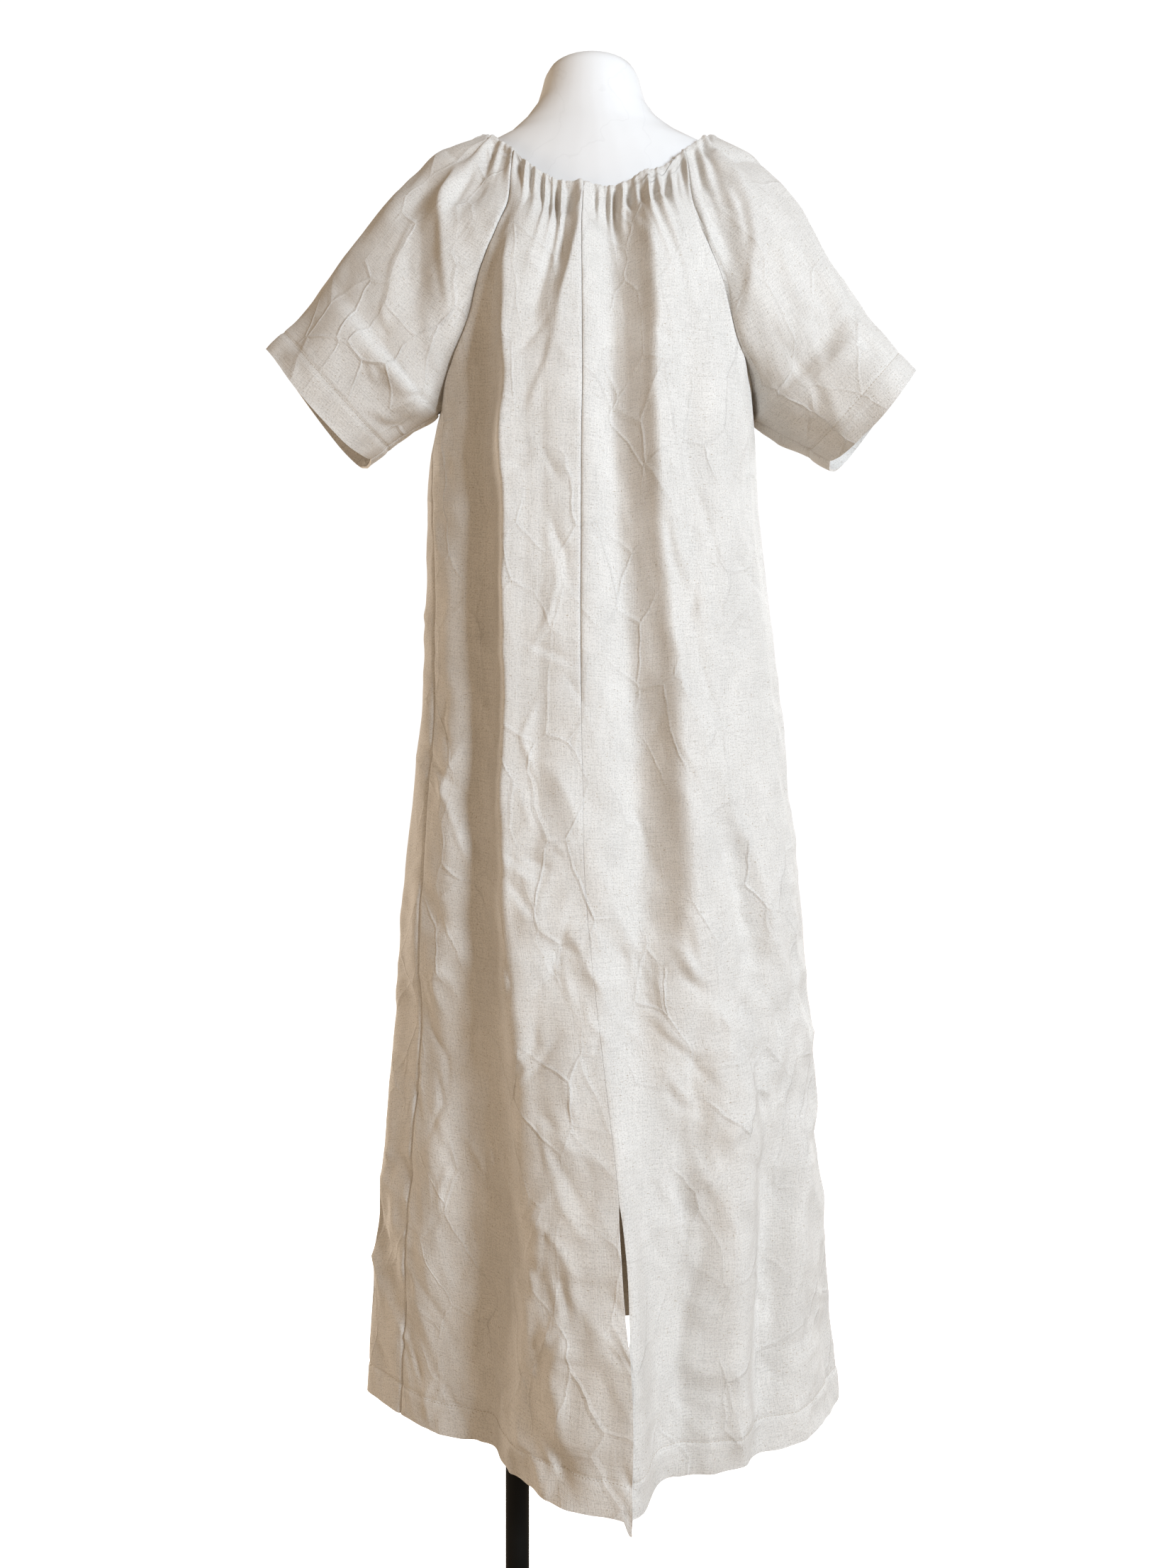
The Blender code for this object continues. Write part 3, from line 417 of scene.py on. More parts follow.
# Creases of the back in millimetres: how far each stands out, its reach towards -X and
# towards +X where it runs down, and then the height and x of each place on its path
Crease = namedtuple("Crease", "path out reach_left reach_right")
BACK_CREASES = (
    (-3.0, 4, 4, 1613, -67, 1597, -71, 1565, -75),
    (-2.5, 3, 4, 1606, -62, 1582, -65),
    (-4.5, 5, 4, 1603, -51, 1583, -51, 1552, -52),
    (-2.5, 3, 3, 1597, -46, 1577, -46),
    (-3.5, 6, 5, 1597, -40, 1573, -41, 1531, -38, 1501, -38, 1481, -40),
    (-2.5, 4, 4, 1593, -31, 1567, -32),
    (-3.0, 4, 4, 1594, -6, 1565, -5),
    (-3.0, 5, 5, 1593, 7, 1573, 8, 1548, 11),
    (2.6, 3, 3, 1599, 21, 1577, 25, 1560, 32),
    (-3.5, 5, 4, 1595, 27, 1568, 34, 1538, 42),
    (-3.0, 4, 3, 1604, 36, 1582, 41, 1559, 45),
    (-3.0, 4, 4, 1620, 59, 1597, 62, 1572, 65),
    (-2.5, 4, 4, 1630, 69, 1602, 75, 1578, 80),
    (-2.2, 5, 3, 1452, -47, 1432, -63, 1408, -82),
    (2.0, 5, 7, 1450, -39, 1412, -49, 1378, -61, 1350, -69),
    (-2.0, 9, 6, 1445, -44, 1408, -54, 1372, -70, 1345, -78),
    (-1.8, 3, 5, 1311, -82, 1304, -73),
    (-1.6, 3, 5, 1324, -56, 1306, -48, 1293, -41),
    (-1.6, 3, 4, 1265, -50, 1237, -42, 1221, -34, 1190, -31),
    (1.4, 5, 4, 1261, -54, 1238, -50, 1207, -41, 1173, -39),
    (-2.0, 3, 4, 1142, -76, 1131, -62, 1126, -50, 1114, -22),
    (1.4, 4, 4, 1138, -74, 1126, -61, 1119, -47, 1108, -24),
    (-1.5, 3, 4, 1105, -34, 1089, -24, 1071, -12),
    (-1.6, 3, 5, 1080, 9, 1062, 14, 1031, 19, 1011, 22),
    (1.4, 4, 4, 1077, 6, 1058, 0, 1039, -6),
    (-1.8, 4, 5, 1435, 50, 1426, 62, 1423, 74),
    (-1.6, 4, 4, 1391, 53, 1376, 70, 1366, 92),
    (-1.4, 4, 5, 1363, 79, 1319, 83, 1285, 88),
    (-2.0, 4, 5, 1346, 54, 1322, 70, 1293, 90, 1266, 100, 1238, 108, 1197, 117),
    (1.6, 6, 4, 1345, 63, 1318, 75, 1286, 95, 1247, 112),
    (-1.6, 4, 4, 1413, 109, 1401, 130, 1392, 143),
    (-2.2, 4, 6, 1270, 55, 1243, 61, 1216, 66, 1195, 75, 1178, 84),
    (1.8, 6, 5, 1273, 61, 1229, 71, 1182, 89),
    (-1.6, 4, 4, 1310, 126, 1302, 141, 1298, 153),
    (-1.6, 4, 4, 1226, 136, 1208, 153, 1194, 172),
    (1.0, 3, 4, 1299, 53, 1299, 91, 1308, 130),
    (-2.6, 4, 7, 1178, 84, 1122, 94, 1072, 107, 1038, 115, 1008, 124),
    (1.6, 5, 4, 1046, 122, 1010, 131, 1003, 139),
    (1.8, 8, 5, 997, 114, 949, 116, 895, 120, 847, 125, 819, 126, 793, 116, 753, 119),
    (-1.5, 5, 4, 990, 120, 936, 120, 874, 124),
    (-1.8, 3, 4, 1156, -141, 1150, -124, 1147, -103),
    (-1.8, 4, 5, 1073, -92, 1043, -102, 1013, -112),
    (1.3, 4, 4, 1046, -98, 1022, -110, 983, -119),
    (-2.4, 3, 4, 933, -85, 922, -74, 913, -64),
    (-2.6, 3, 4, 932, -74, 922, -55, 916, -41),
    (2.0, 4, 3, 923, -81, 915, -69, 902, -55),
    (-2.6, 3, 5, 909, -83, 885, -69, 870, -54),
    (2.4, 4, 4, 950, -53, 942, -44, 934, -32),
    (-1.8, 3, 4, 946, -49, 934, -39, 930, -34),
    (1.8, 4, 5, 868, -56, 890, -54, 910, -46, 929, -43),
    (2.2, 4, 6, 895, -79, 877, -65, 870, -56, 851, -46, 836, -37),
    (-2.0, 5, 4, 870, -60, 854, -48, 838, -41, 821, -32),
    (1.6, 5, 4, 836, -37, 810, -29, 787, -20),
    (-1.4, 4, 4, 851, -43, 841, -25, 837, -8),
    (-1.4, 4, 4, 849, 14, 836, 22, 827, 29),
    (1.4, 4, 4, 849, 22, 843, 37, 838, 46),
    (2.6, 5, 5, 850, 69, 835, 77, 821, 86, 806, 101),
    (-2.4, 5, 4, 844, 66, 826, 73, 811, 84, 803, 97),
    (-1.6, 4, 4, 821, 67, 808, 86, 798, 97),
    (1.4, 4, 4, 794, 97, 781, 103, 763, 107),
    (2.2, 4, 5, 780, 49, 764, 63, 751, 79, 739, 96),
    (-2.2, 4, 4, 779, 43, 759, 60, 746, 76, 734, 93),
    (2.0, 4, 4, 736, 63, 720, 59, 710, 56),
    (2.4, 4, 4, 724, 64, 708, 75, 694, 89),
    (-2.2, 4, 4, 720, 59, 701, 69, 684, 84),
    (1.8, 5, 4, 741, 96, 746, 110, 743, 127),
    (-2.4, 4, 4, 765, 125, 743, 136, 718, 155),
    (2.0, 5, 4, 771, 127, 742, 143, 723, 159),
    (-1.6, 4, 4, 713, 107, 698, 117, 682, 125),
    (1.6, 4, 4, 710, 127, 701, 147, 698, 178),
    (-1.6, 4, 5, 688, 155, 668, 136, 638, 110, 622, 103),
    (1.6, 5, 4, 693, 147, 670, 125, 649, 103),
    (1.5, 5, 4, 763, 187, 729, 182, 695, 178),
    (-1.3, 6, 6, 671, -176, 642, -161, 615, -149, 589, -140),
    (1.2, 6, 6, 597, -135, 577, -108, 565, -91),
    (-1.6, 5, 5, 559, -226, 508, -212, 458, -195, 433, -175, 419, -158),
    (1.6, 6, 6, 534, -219, 498, -201, 452, -191, 444, -175),
    (1.2, 8, 6, 549, -217, 524, -173, 480, -158),
    (-3.2, 9, 9, 535, -100, 485, -113, 441, -127, 407, -141, 371, -155),
    (1.8, 5, 6, 510, -98, 474, -109, 431, -123, 385, -137),
    (1.4, 8, 8, 584, -129, 546, -119, 524, -108),
    (-1.6, 7, 9, 768, -109, 699, -113, 631, -110, 553, -102),
    (-2.0, 4, 4, 690, -58, 687, -45, 677, -31),
    (2.2, 4, 4, 694, -53, 675, -48, 651, -42, 631, -36),
    (-1.8, 4, 5, 672, -47, 646, -31, 623, -19, 598, -6),
    (1.6, 4, 4, 680, -38, 663, -23, 655, -5, 640, 15),
    (-1.8, 4, 4, 703, -29, 685, -21, 670, -14),
    (1.8, 6, 4, 747, -34, 716, -26, 680, -18, 661, -12),
    (1.2, 4, 4, 588, -54, 590, -31, 586, 10),
    (2.2, 4, 5, 550, -38, 529, -31, 512, -27, 499, -31),
    (-2.2, 4, 4, 553, -31, 531, -23, 510, -18),
    (2.4, 5, 4, 513, -27, 501, -23, 479, -27, 470, -34),
    (-2.2, 5, 4, 527, -14, 508, -5, 494, 2),
    (2.0, 4, 4, 523, -7, 506, 1, 491, 0),
    (-1.8, 4, 4, 481, -31, 476, -18, 477, 1),
    (1.6, 5, 5, 472, -21, 441, -23, 416, -27),
    (-2.0, 6, 5, 413, -18, 388, -21, 363, -24),
    (1.4, 4, 4, 500, -60, 472, -52, 455, -49),
    (-1.2, 4, 4, 542, -44, 548, -12, 543, 12),
    (-1.6, 5, 5, 627, 21, 595, 34, 570, 47, 545, 66),
    (1.3, 5, 4, 588, 29, 559, 48, 541, 58),
    (-2.6, 7, 8, 629, 106, 592, 105, 564, 99, 535, 88, 502, 79, 438, 69, 397, 60),
    (1.8, 6, 5, 640, 93, 574, 88, 523, 81),
    (1.6, 5, 5, 559, 110, 514, 92, 470, 84, 420, 76),
    (1.8, 5, 6, 601, 206, 576, 195, 550, 186, 517, 175, 490, 168, 413, 163, 349, 161),
    (-3.4, 6, 10, 558, 198, 521, 186, 488, 176, 431, 173, 372, 172),
    (1.6, 5, 5, 601, 206, 550, 201, 493, 190, 428, 184, 378, 178),
    (1.3, 4, 4, 528, 141, 516, 149, 502, 158),
    (1.2, 5, 5, 433, 73, 423, 92, 424, 109),
    (-1.2, 4, 4, 499, 48, 463, 50, 430, 44),
    (-1.4, 5, 5, 447, 178, 449, 199, 449, 218),
    (1.3, 5, 5, 420, 178, 431, 195, 431, 233),
    (1.2, 5, 5, 619, 191, 618, 203, 611, 225),
    (-1.4, 5, 5, 661, 199, 646, 203, 627, 220),
    (-5.5, 6, 5, 1647, -120, 1627, -131, 1603, -142, 1579, -151, 1562, -154),
    (-3.0, 6, 6, 1648, -107, 1611, -112, 1587, -124, 1562, -126),
    (-2.5, 5, 5, 1610, -92, 1584, -95, 1563, -99),
    (2.0, 6, 8, 1654, -135, 1628, -149, 1597, -160, 1564, -165),
    (-3.2, 9, 6, 1597, -160, 1565, -165, 1534, -163, 1481, -157, 1434, -151),
    (-2.4, 16, 7, 1615, -174, 1572, -202, 1529, -215, 1486, -221, 1451, -229, 1408, -232),
    (1.8, 6, 9, 1622, -168, 1573, -196, 1529, -210, 1487, -215, 1459, -221),
    (-1.8, 4, 4, 1459, -224, 1451, -217, 1445, -211),
    (2.0, 4, 5, 1488, -217, 1472, -219, 1456, -213),
    (-1.8, 5, 4, 1424, -230, 1414, -224, 1406, -211),
    (2.2, 4, 4, 1431, -228, 1414, -229, 1399, -225),
    (-2.6, 4, 5, 1387, -208, 1392, -195, 1392, -179, 1382, -155),
    (2.0, 5, 4, 1393, -205, 1398, -180, 1390, -159),
    (-2.0, 4, 5, 1372, -241, 1365, -219, 1369, -200, 1377, -186),
    (1.6, 4, 4, 1378, -234, 1371, -215, 1372, -196),
    (-1.6, 5, 5, 1356, -218, 1365, -200, 1374, -192),
    (1.4, 6, 6, 1475, -173, 1442, -171, 1409, -162),
    (-2.5, 4, 4, 1635, 80, 1611, 84, 1587, 87, 1563, 94),
    (-4.0, 5, 6, 1633, 88, 1622, 96, 1598, 105, 1577, 109, 1543, 111, 1502, 119),
    (2.0, 5, 5, 1650, 93, 1627, 103, 1600, 116, 1568, 122, 1530, 127),
    (
        -5.0, 7, 5, 1656, 100, 1637, 111, 1607, 127, 1581, 140, 1549, 146, 1521, 146,
        1483, 141, 1459, 141,
    ),
    (2.4, 5, 9, 1662, 112, 1644, 124, 1614, 138, 1579, 150, 1542, 155, 1503, 154),
    (-2.0, 4, 4, 1662, 113, 1653, 116, 1647, 120),
    (-2.4, 6, 8, 1470, 168, 1444, 178, 1420, 200, 1390, 217, 1366, 227),
    (-2.0, 5, 6, 1403, 159, 1406, 173, 1410, 190),
    (1.8, 5, 5, 1407, 217, 1383, 232, 1365, 241, 1349, 251),
    (-2.4, 4, 4, 1477, 251, 1451, 261, 1427, 277),
    (2.0, 5, 5, 1478, 257, 1457, 269, 1435, 284),
    (-1.4, 5, 5, 1405, 223, 1414, 246, 1422, 278),
)
CREASE_STRENGTH = 1.7
# They are weaker on the sleeves, below this height
SLEEVE_CREASES = 0.85
SLEEVE_CREASES_FROM = 1.46
SLEEVE_CREASES_FADE = 0.06
# A crease is a narrow ridge with broad flanks that meet in a sharp line
CREASE_NARROW = 0.30
CREASE_SHARP = 1.2
CREASE_ROUND = 0.5
CREASE_BROAD = 0.65
CREASE_FLANK = 3.2
CREASE_REACH = 11
CREASE_END = 0.42
CREASE_TAIL = 0.30
# Small creases strewn over the skirt, more of them lower down
Strewn = namedtuple("Strewn", "seed count low high width lengths slant outs reach")
STREWN_BACK = Strewn(31, 150, 370, 1180, 235, (28, 95), 0.75, (0.9, 2.3), 3.2)
STREWN_FRONT = Strewn(47, 130, 370, 1380, 235, (28, 95), 0.75, (0.9, 2.2), 3.2)
STREWN_POWER = 1.5
STREWN_BEND = 0.18
# Creases of the hidden front: those of the back, the other way round and a little apart
FRONT_SHIFT = (14, -22)
FRONT_STRETCH = 0.97
FRONT_TOP = 1560
FRONT_STRENGTH = 0.9
# Cloth takes the creases of the side that it turns to, from this much of a turn
FACING_START = 0.02
FACING_FADE = 0.30

# Crumples all over the cloth: how deep, how much longer they hang, their size and their seed.
# The sharp ones go from their least depth to the full one in the crumpled patches.
SoftCrumple = namedtuple("SoftCrumple", "depth upright size seed")
SOFT_CRUMPLES = (
    SoftCrumple(0.0038, 0.16, 0.034, 6),
    SoftCrumple(0.0014, 0.45, 0.040, 1),
    SoftCrumple(0.0005, 0.70, 0.015, 2),
)
SharpCrumple = namedtuple("SharpCrumple", "least more upright size seed shift")
SHARP_CRUMPLES = (
    SharpCrumple(0.0022, 0.0058, 0.5, 0.036, 3, 0.0),
    SharpCrumple(0.0012, 0.0034, 0.6, 0.020, 9, 0.3),
)
# They slant a little to either side of the hang
SLANT = np.array(((0.94, 0.0, -0.34), (0.0, 1.0, 0.0), (0.34, 0.0, 0.94)))
CRUMPLE_MEAN = 0.35
PATCH_SIZE = 0.11
PATCH_CONTRAST = 1.2
PATCH_SHIFT = 0.7
PATCH_SEED = 4
# They are weaker high up, at the neck edge and where the cloth turns to the side
CRUMPLE_HEIGHT = 1.20
CRUMPLE_FADE = 0.6
CRUMPLE_TOP = 0.45
CRUMPLE_START = 0.1
SIDE_CRUMPLE = 0.4


def smooth_value(places, values, at):
    """A smooth curve through (place, value) pairs, read at one place or more."""
    places = np.asarray(places, dtype=float)
    values = np.asarray(values, dtype=float)
    if places[0] > places[-1]:
        places = places[::-1]
        values = values[::-1]
    at = np.clip(at, places[0], places[-1])
    slopes = np.gradient(values, places)
    step = np.clip(np.searchsorted(places, at) - 1, 0, len(places) - 2)
    length = places[step + 1] - places[step]
    t = (at - places[step]) / length
    start = values[step] * (1 + 2 * t) + slopes[step] * length * t
    end = values[step + 1] * (3 - 2 * t) - slopes[step + 1] * length * (1 - t)
    return start * (1 - t) ** 2 + end * t ** 2


def curves(rows, at):
    """Smooth curves through rows of (place, value, ...), as one array for each value."""
    places, *columns = zip(*rows)
    return [smooth_value(places, column, at) for column in columns]


def read_rows(table, at):
    """The rows of a table at many places, each column as an array of shape (rows, 1)."""
    places = [row[0] for row in table]
    columns = [smooth_value(places, column, at)[:, None] for column in zip(*table)]
    return type(table[0])(*columns)


def smooth_share(value):
    share = np.clip(value, 0, 1)
    return share * share * (3 - 2 * share)


def bell(away, reach):
    return np.exp(-((away / reach) ** 2))


def bump(away, reach_left, reach_right):
    return bell(away, np.where(away < 0, reach_left, reach_right))


def along_line(steps):
    """Lengths along a line from the steps between its points."""
    zero = np.zeros((1, *steps.shape[1:]))
    return np.concatenate([zero, np.cumsum(steps, axis=0)])


def soft_noise(points, size, seed):
    """Smooth uneven values from -1 to 1, with bumps of about the given size."""
    cells = NOISE_CELLS
    lattice = np.random.default_rng(seed).uniform(-1, 1, (cells, cells, cells))
    place = points / size
    low = np.floor(place).astype(int)
    part = smooth_share(place - low)
    total = np.zeros(points.shape[:-1])
    for corner in product((0, 1), repeat=3):
        at = (low + corner) % cells
        weight = np.prod(np.where(np.array(corner) == 1, part, 1 - part), axis=-1)
        total += weight * lattice[at[..., 0], at[..., 1], at[..., 2]]
    return total


def turn_depth(name):
    return CUFF_DEPTH if name in SLEEVES else HEM_DEPTH


def yoke_drops():
    """Drops of the yoke's rows, closer together at the neck edge."""
    share = np.linspace(0, 1, YOKE_ROWS)
    return YOKE_EVENNESS * share + (1 - YOKE_EVENNESS) * share ** YOKE_POWER


def skirt_heights():
    """Heights of the skirt's rows, with a few more at the hem's stitch line."""
    rows = np.linspace(UNDERARM_HEIGHT, HEM_HEIGHT, SKIRT_ROWS)
    line = HEM_HEIGHT + HEM_DEPTH
    rows = rows[np.abs(rows - line) > HEM_LINE_CLEAR]
    extra = line + HEM_LINE_STEP * LINE_ROWS
    return np.sort(np.concatenate([rows, extra, [HEM_HEIGHT + HEM_EDGE_ROW]]))[::-1]


def sleeve_drops():
    """Drops of a sleeve's rows, with a few more at the cuff's stitch line."""
    below = np.linspace(1, 2, SLEEVE_ROWS)[1:]
    line = 2 - CUFF_DEPTH / SLEEVE_BELOW
    below = below[np.abs(below - line) > CUFF_LINE_CLEAR]
    extra = line + CUFF_LINE_STEP * LINE_ROWS
    return np.concatenate([yoke_drops(), np.sort(np.concatenate([below, extra, [CUFF_EDGE_ROW]]))])


def panel_drops(name, grid):
    """The drop of each row. The rows of the skirt keep the last one."""
    drops = sleeve_drops() if name in SLEEVES else yoke_drops()
    return np.concatenate([drops, np.full(len(grid) - len(drops), drops[-1])])


def column_shares(columns):
    """Shares of the columns from 0 to 1, with more beside each edge."""
    edge = np.array(EDGE_COLUMNS)
    middle = np.linspace(MIDDLE_START, 1 - MIDDLE_START, columns - 2 * len(edge))
    return np.concatenate([edge, middle, 1 - edge[::-1]])


def spread(middle, edge, share, evenness):
    return middle + (edge - middle) * (evenness * share + (1 - evenness) * share ** SPREAD_POWER)


def panel_angles(name, shares, evenness, centre, seam_angles):
    """The angles of a body panel's columns, row by row."""
    left_back, left_front, right_front, right_back = seam_angles
    if name == "back_left":
        return spread(centre, -left_back, 1 - shares, evenness)
    if name == "back_right":
        return spread(centre, right_back, shares, evenness)
    across = 2 * shares - 1
    seam = np.where(across > 0, 360 - left_front, right_front)
    return spread(180, seam, np.abs(across), evenness)


def yoke_points(ring, angles):
    """Points of the rings above the underarm. Angles are degrees from the centre back."""
    turn = np.radians(angles)
    right = np.sin(turn) > 0
    x = np.where(right, ring.right, ring.left) * np.sin(turn)
    seam_back = np.where(right, ring.right_back, ring.left_back)
    near_edge = np.clip(1 - ring.drop / NECK_LINE_DROP, 0, 1)
    curve = 2 + near_edge * np.where(right, NECK_CURVE_RIGHT, NECK_CURVE_LEFT)
    share_back = np.minimum(1, np.abs(angles) / seam_back) ** curve
    middle = ring.back_height + NECK_RISE * near_edge * bell(angles, NECK_RISE_REACH)
    z_back = middle + (ring.seam_height - middle) * share_back
    from_front = 180 - np.abs((angles + 180) % 360 - 180)
    seam_front = 180 - np.where(right, ring.right_front, ring.left_front)
    share_front = np.minimum(1, from_front / np.maximum(seam_front, 1)) ** 2
    z_front = ring.front_height + (ring.front_seam_height - ring.front_height) * share_front
    back = np.cos(turn) > 0
    y = -np.where(back, ring.back, ring.front) * np.cos(turn)
    return np.stack([x, y, np.where(back, z_back, z_front)], axis=-1)


def skirt_points(ring, angles):
    """Points of the rings below the underarm."""
    turn = np.radians(angles)
    across = np.sin(turn)
    right = across > 0
    x = across * np.where(right, ring.right, ring.left)
    curve = np.where(right, ring.right_curve, ring.left_curve)
    depth = np.maximum(0, 1 - np.abs(across) ** curve) ** (1 / curve)
    y = np.where(np.cos(turn) < 0, -ring.front * np.cos(turn), -ring.back * depth)
    return np.stack([x, y, ring.height + np.zeros_like(x)], axis=-1)


def body_grid(name, columns):
    """The base grid of a body panel."""
    shares = column_shares(columns)
    drops = yoke_drops()[:-1]
    ring = read_rows(RINGS, drops)
    fall = np.maximum(0, (drops - EVEN_DROP) / (1 - EVEN_DROP))[:, None]
    evenness = 1 + (SKIRT_RINGS[0].evenness - 1) * fall
    seam_angles = (ring.left_back, ring.left_front, ring.right_front, ring.right_back)
    angles = panel_angles(name, shares, evenness, ring.centre_back, seam_angles)
    yoke = yoke_points(ring, angles)
    ring = read_rows(SKIRT_RINGS, skirt_heights())
    seam_angles = (ring.left_seam, ring.left_seam, ring.right_seam, ring.right_seam)
    angles = panel_angles(name, shares, ring.evenness, ring.centre_back, seam_angles)
    skirt = skirt_points(ring, angles)
    return np.concatenate([yoke, skirt])


def hermite(start, lead, end, arrive, share):
    h_start = 2 * share ** 3 - 3 * share ** 2 + 1
    h_lead = share ** 3 - 2 * share ** 2 + share
    h_arrive = share ** 3 - share ** 2
    return h_start * start + h_lead * lead + (1 - h_start) * end + h_arrive * arrive


def sleeve_grid(sleeve):
    """The base grid of a sleeve, from its back seam over the top to its front seam."""
    side = sleeve.side
    drops = sleeve_drops()
    row = read_rows(sleeve.table, drops)
    ring = read_rows(RINGS, np.minimum(drops, 1))
    first = read_rows(SKIRT_RINGS, np.array([UNDERARM_HEIGHT]))
    if side > 0:
        angles = (ring.right_back, ring.right_front, first.right_seam)
    else:
        angles = (-ring.left_back, -ring.left_front, -first.left_seam)
    back = yoke_points(ring, angles[0])
    front = yoke_points(ring, angles[1])
    underarm = skirt_points(first, angles[2])
    cuff = np.array((sleeve.cuff_x, 0.0, sleeve.cuff_z))
    low = underarm + (cuff - underarm) * np.maximum(0, drops - 1)[:, None, None]
    under = (drops >= 1)[:, None, None]
    back = np.where(under, low, back)
    front = np.where(under, low, front)
    flat = np.zeros_like(row.top_x)
    top = np.stack([side * row.top_x, flat, row.top_z], axis=-1)
    lead = np.stack([side * row.lead_out, -row.lead_back, row.lead_up], axis=-1)
    land = lead * (-1, 1, -1)
    over = np.stack([flat, row.pull, flat], axis=-1)
    place = (2 * column_shares(SLEEVE_COLUMNS))[None, :, None]
    rise = hermite(back, lead, top, over, np.minimum(place, 1))
    fall = hermite(top, over, front, land, np.maximum(place - 1, 0))
    grid = np.where(place <= 1, rise, fall)
    return grid if side > 0 else grid[:, ::-1]


def soften_underarm(grid):
    """Rounds off the turn of a body panel at the underarm level."""
    away = np.abs(np.arange(len(grid)) - (YOKE_ROWS - 1))
    near = smooth_share(1 - away / UNDERARM_ROWS)[:, None, None]
    for turn in range(UNDERARM_TURNS):
        mean = grid.copy()
        mean[1:-1] = (grid[:-2] + grid[2:]) / 2
        grid = grid + (mean - grid) * near
    return grid


def base_panels():
    """The base grids of all five panels."""
    body = {name: body_grid(name, columns) for name, columns in BODY_COLUMNS.items()}
    panels = {name: soften_underarm(grid) for name, grid in body.items()}
    for name, sleeve in SLEEVES.items():
        panels[name] = sleeve_grid(sleeve)
    return panels


def grid_normals(grid):
    normals = np.cross(np.gradient(grid, axis=0), np.gradient(grid, axis=1))
    return normals / np.linalg.norm(normals, axis=2, keepdims=True)


def seams(cut):
    """Which edge points of which panels are sewn together."""
    under = YOKE_ROWS - 1
    above = ("back_left", "back_right", "sleeve_right", "front", "sleeve_left", "back_left")
    below = ("back_left", "back_right", "front", "back_left")
    groups = [(("back_left", under, -1), ("back_right", under, 0))]
    for row in range(len(cut["front"])):
        if row != under:
            around = above if row < under else below
            for name, after in zip(around, around[1:]):
                groups.append(((name, row, -1), (after, row, 0)))
    for sleeve, back, edge, other in (
        ("sleeve_right", "back_right", -1, 0),
        ("sleeve_left", "back_left", 0, -1),
    ):
        ends = ((sleeve, under, 0), (sleeve, under, -1))
        groups.append(((back, under, edge), ("front", under, other), *ends))
        for row in range(under + 1, len(cut[sleeve])):
            groups.append(((sleeve, row, 0), (sleeve, row, -1)))
    return groups


def share_at_seams(values, groups, unit):
    """Gives the points that are sewn together one common value."""
    for group in groups:
        common = sum(values[name][row, column] for name, row, column in group)
        common = common / (np.linalg.norm(common) if unit else len(group))
        for name, row, column in group:
            values[name][row, column] = common


def soft_folds(x, z, face):
    """The soft folds of the body, as moves outwards."""
    out = np.zeros_like(x)
    for fold in FOLDS:
        (centre,) = curves(fold.path, z)
        inside = np.minimum(z - fold.path[-1][0], fold.path[0][0] - z) / FOLD_FADE + 0.5
        strength = smooth_share(inside) * fold.depth
        out += (face == fold.face) * strength * bump(x - centre, fold.reach_left, fold.reach_right)
    return out


def saw_tooth(fold, away):
    """A trough, the slope that rises from it and gets steeper, and the crest's far side."""
    share = np.clip(1 + away / fold.rise, 0, 1)
    steeper = SLOPE_START + (1 - SLOPE_START) * share
    slope = (fold.trough + fold.ridge) * share * steeper - fold.trough
    before = np.minimum(away + fold.rise, 0)
    after = np.maximum(away, 0) / fold.ridge_reach
    low = -fold.trough * bell(before, fold.trough_reach)
    high = fold.ridge * np.exp(-(after ** CREST_POWER))
    return np.where(away > 0, high, np.where(before < 0, low, slope))


def step_folds(x, z, folds):
    """The folds that rise to a sharp crest, which wanders a little from its path."""
    out = np.zeros_like(x)
    for number, fold in enumerate(folds):
        strength, softer = curves(fold.shares, z)
        (path,) = curves(fold.path, z)
        apart = np.full_like(z, WANDER_APART * number)
        line = np.stack([z / WANDER_LENGTH, np.zeros_like(z), apart], axis=-1)
        wander = sum(size * soft_noise(line * finer, 1.0, seed) for size, finer, seed in WANDERS)
        away = x - path - wander
        edge = fold.edge * softer
        parts = [saw_tooth(fold, away + part * edge) for part in (-1, -0.5, 0, 0.5, 1)]
        out += np.maximum(strength, 0) * sum(parts) / len(parts)
    return out


def vent_flare(x, y, z, seam_x):
    """How far the cloth beside the vent stands out from the ring."""
    (reach_out,) = curves(VENT_FLARE, z)
    away = x - seam_x
    left = np.maximum(0, 1 + away / FLARE_LEFT_REACH) ** FLARE_LEFT_POWER
    shape = np.where(away < 0, left, bell(away, FLARE_RIGHT_REACH))
    return np.where(y > 0, 0, reach_out * shape)


def body_folds(name, grid, drop, seam_x):
    """All folds of a body panel and the flare at the vent."""
    x, y, z = np.moveaxis(grid, -1, 0)
    growth = np.minimum(1, FOLD_START + drop / FOLD_GROWTH)[:, None]
    out = soft_folds(x, z, np.where(y < 0, "back", "front")) * growth
    out += vent_flare(x, y, z, seam_x[:, None])
    start, end = edge_distances(grid)
    if name == "front":
        fade = smooth_share(np.minimum(start, end) / SIDE_FADE)
        return out + FRONT_STEP_SHARE * fade * step_folds(FRONT_STEP_SHIFT - x, z, STEPS[:2])
    from_side = start if name == "back_left" else end
    return out + step_folds(x, z, STEPS) * smooth_share(from_side / SIDE_FADE)


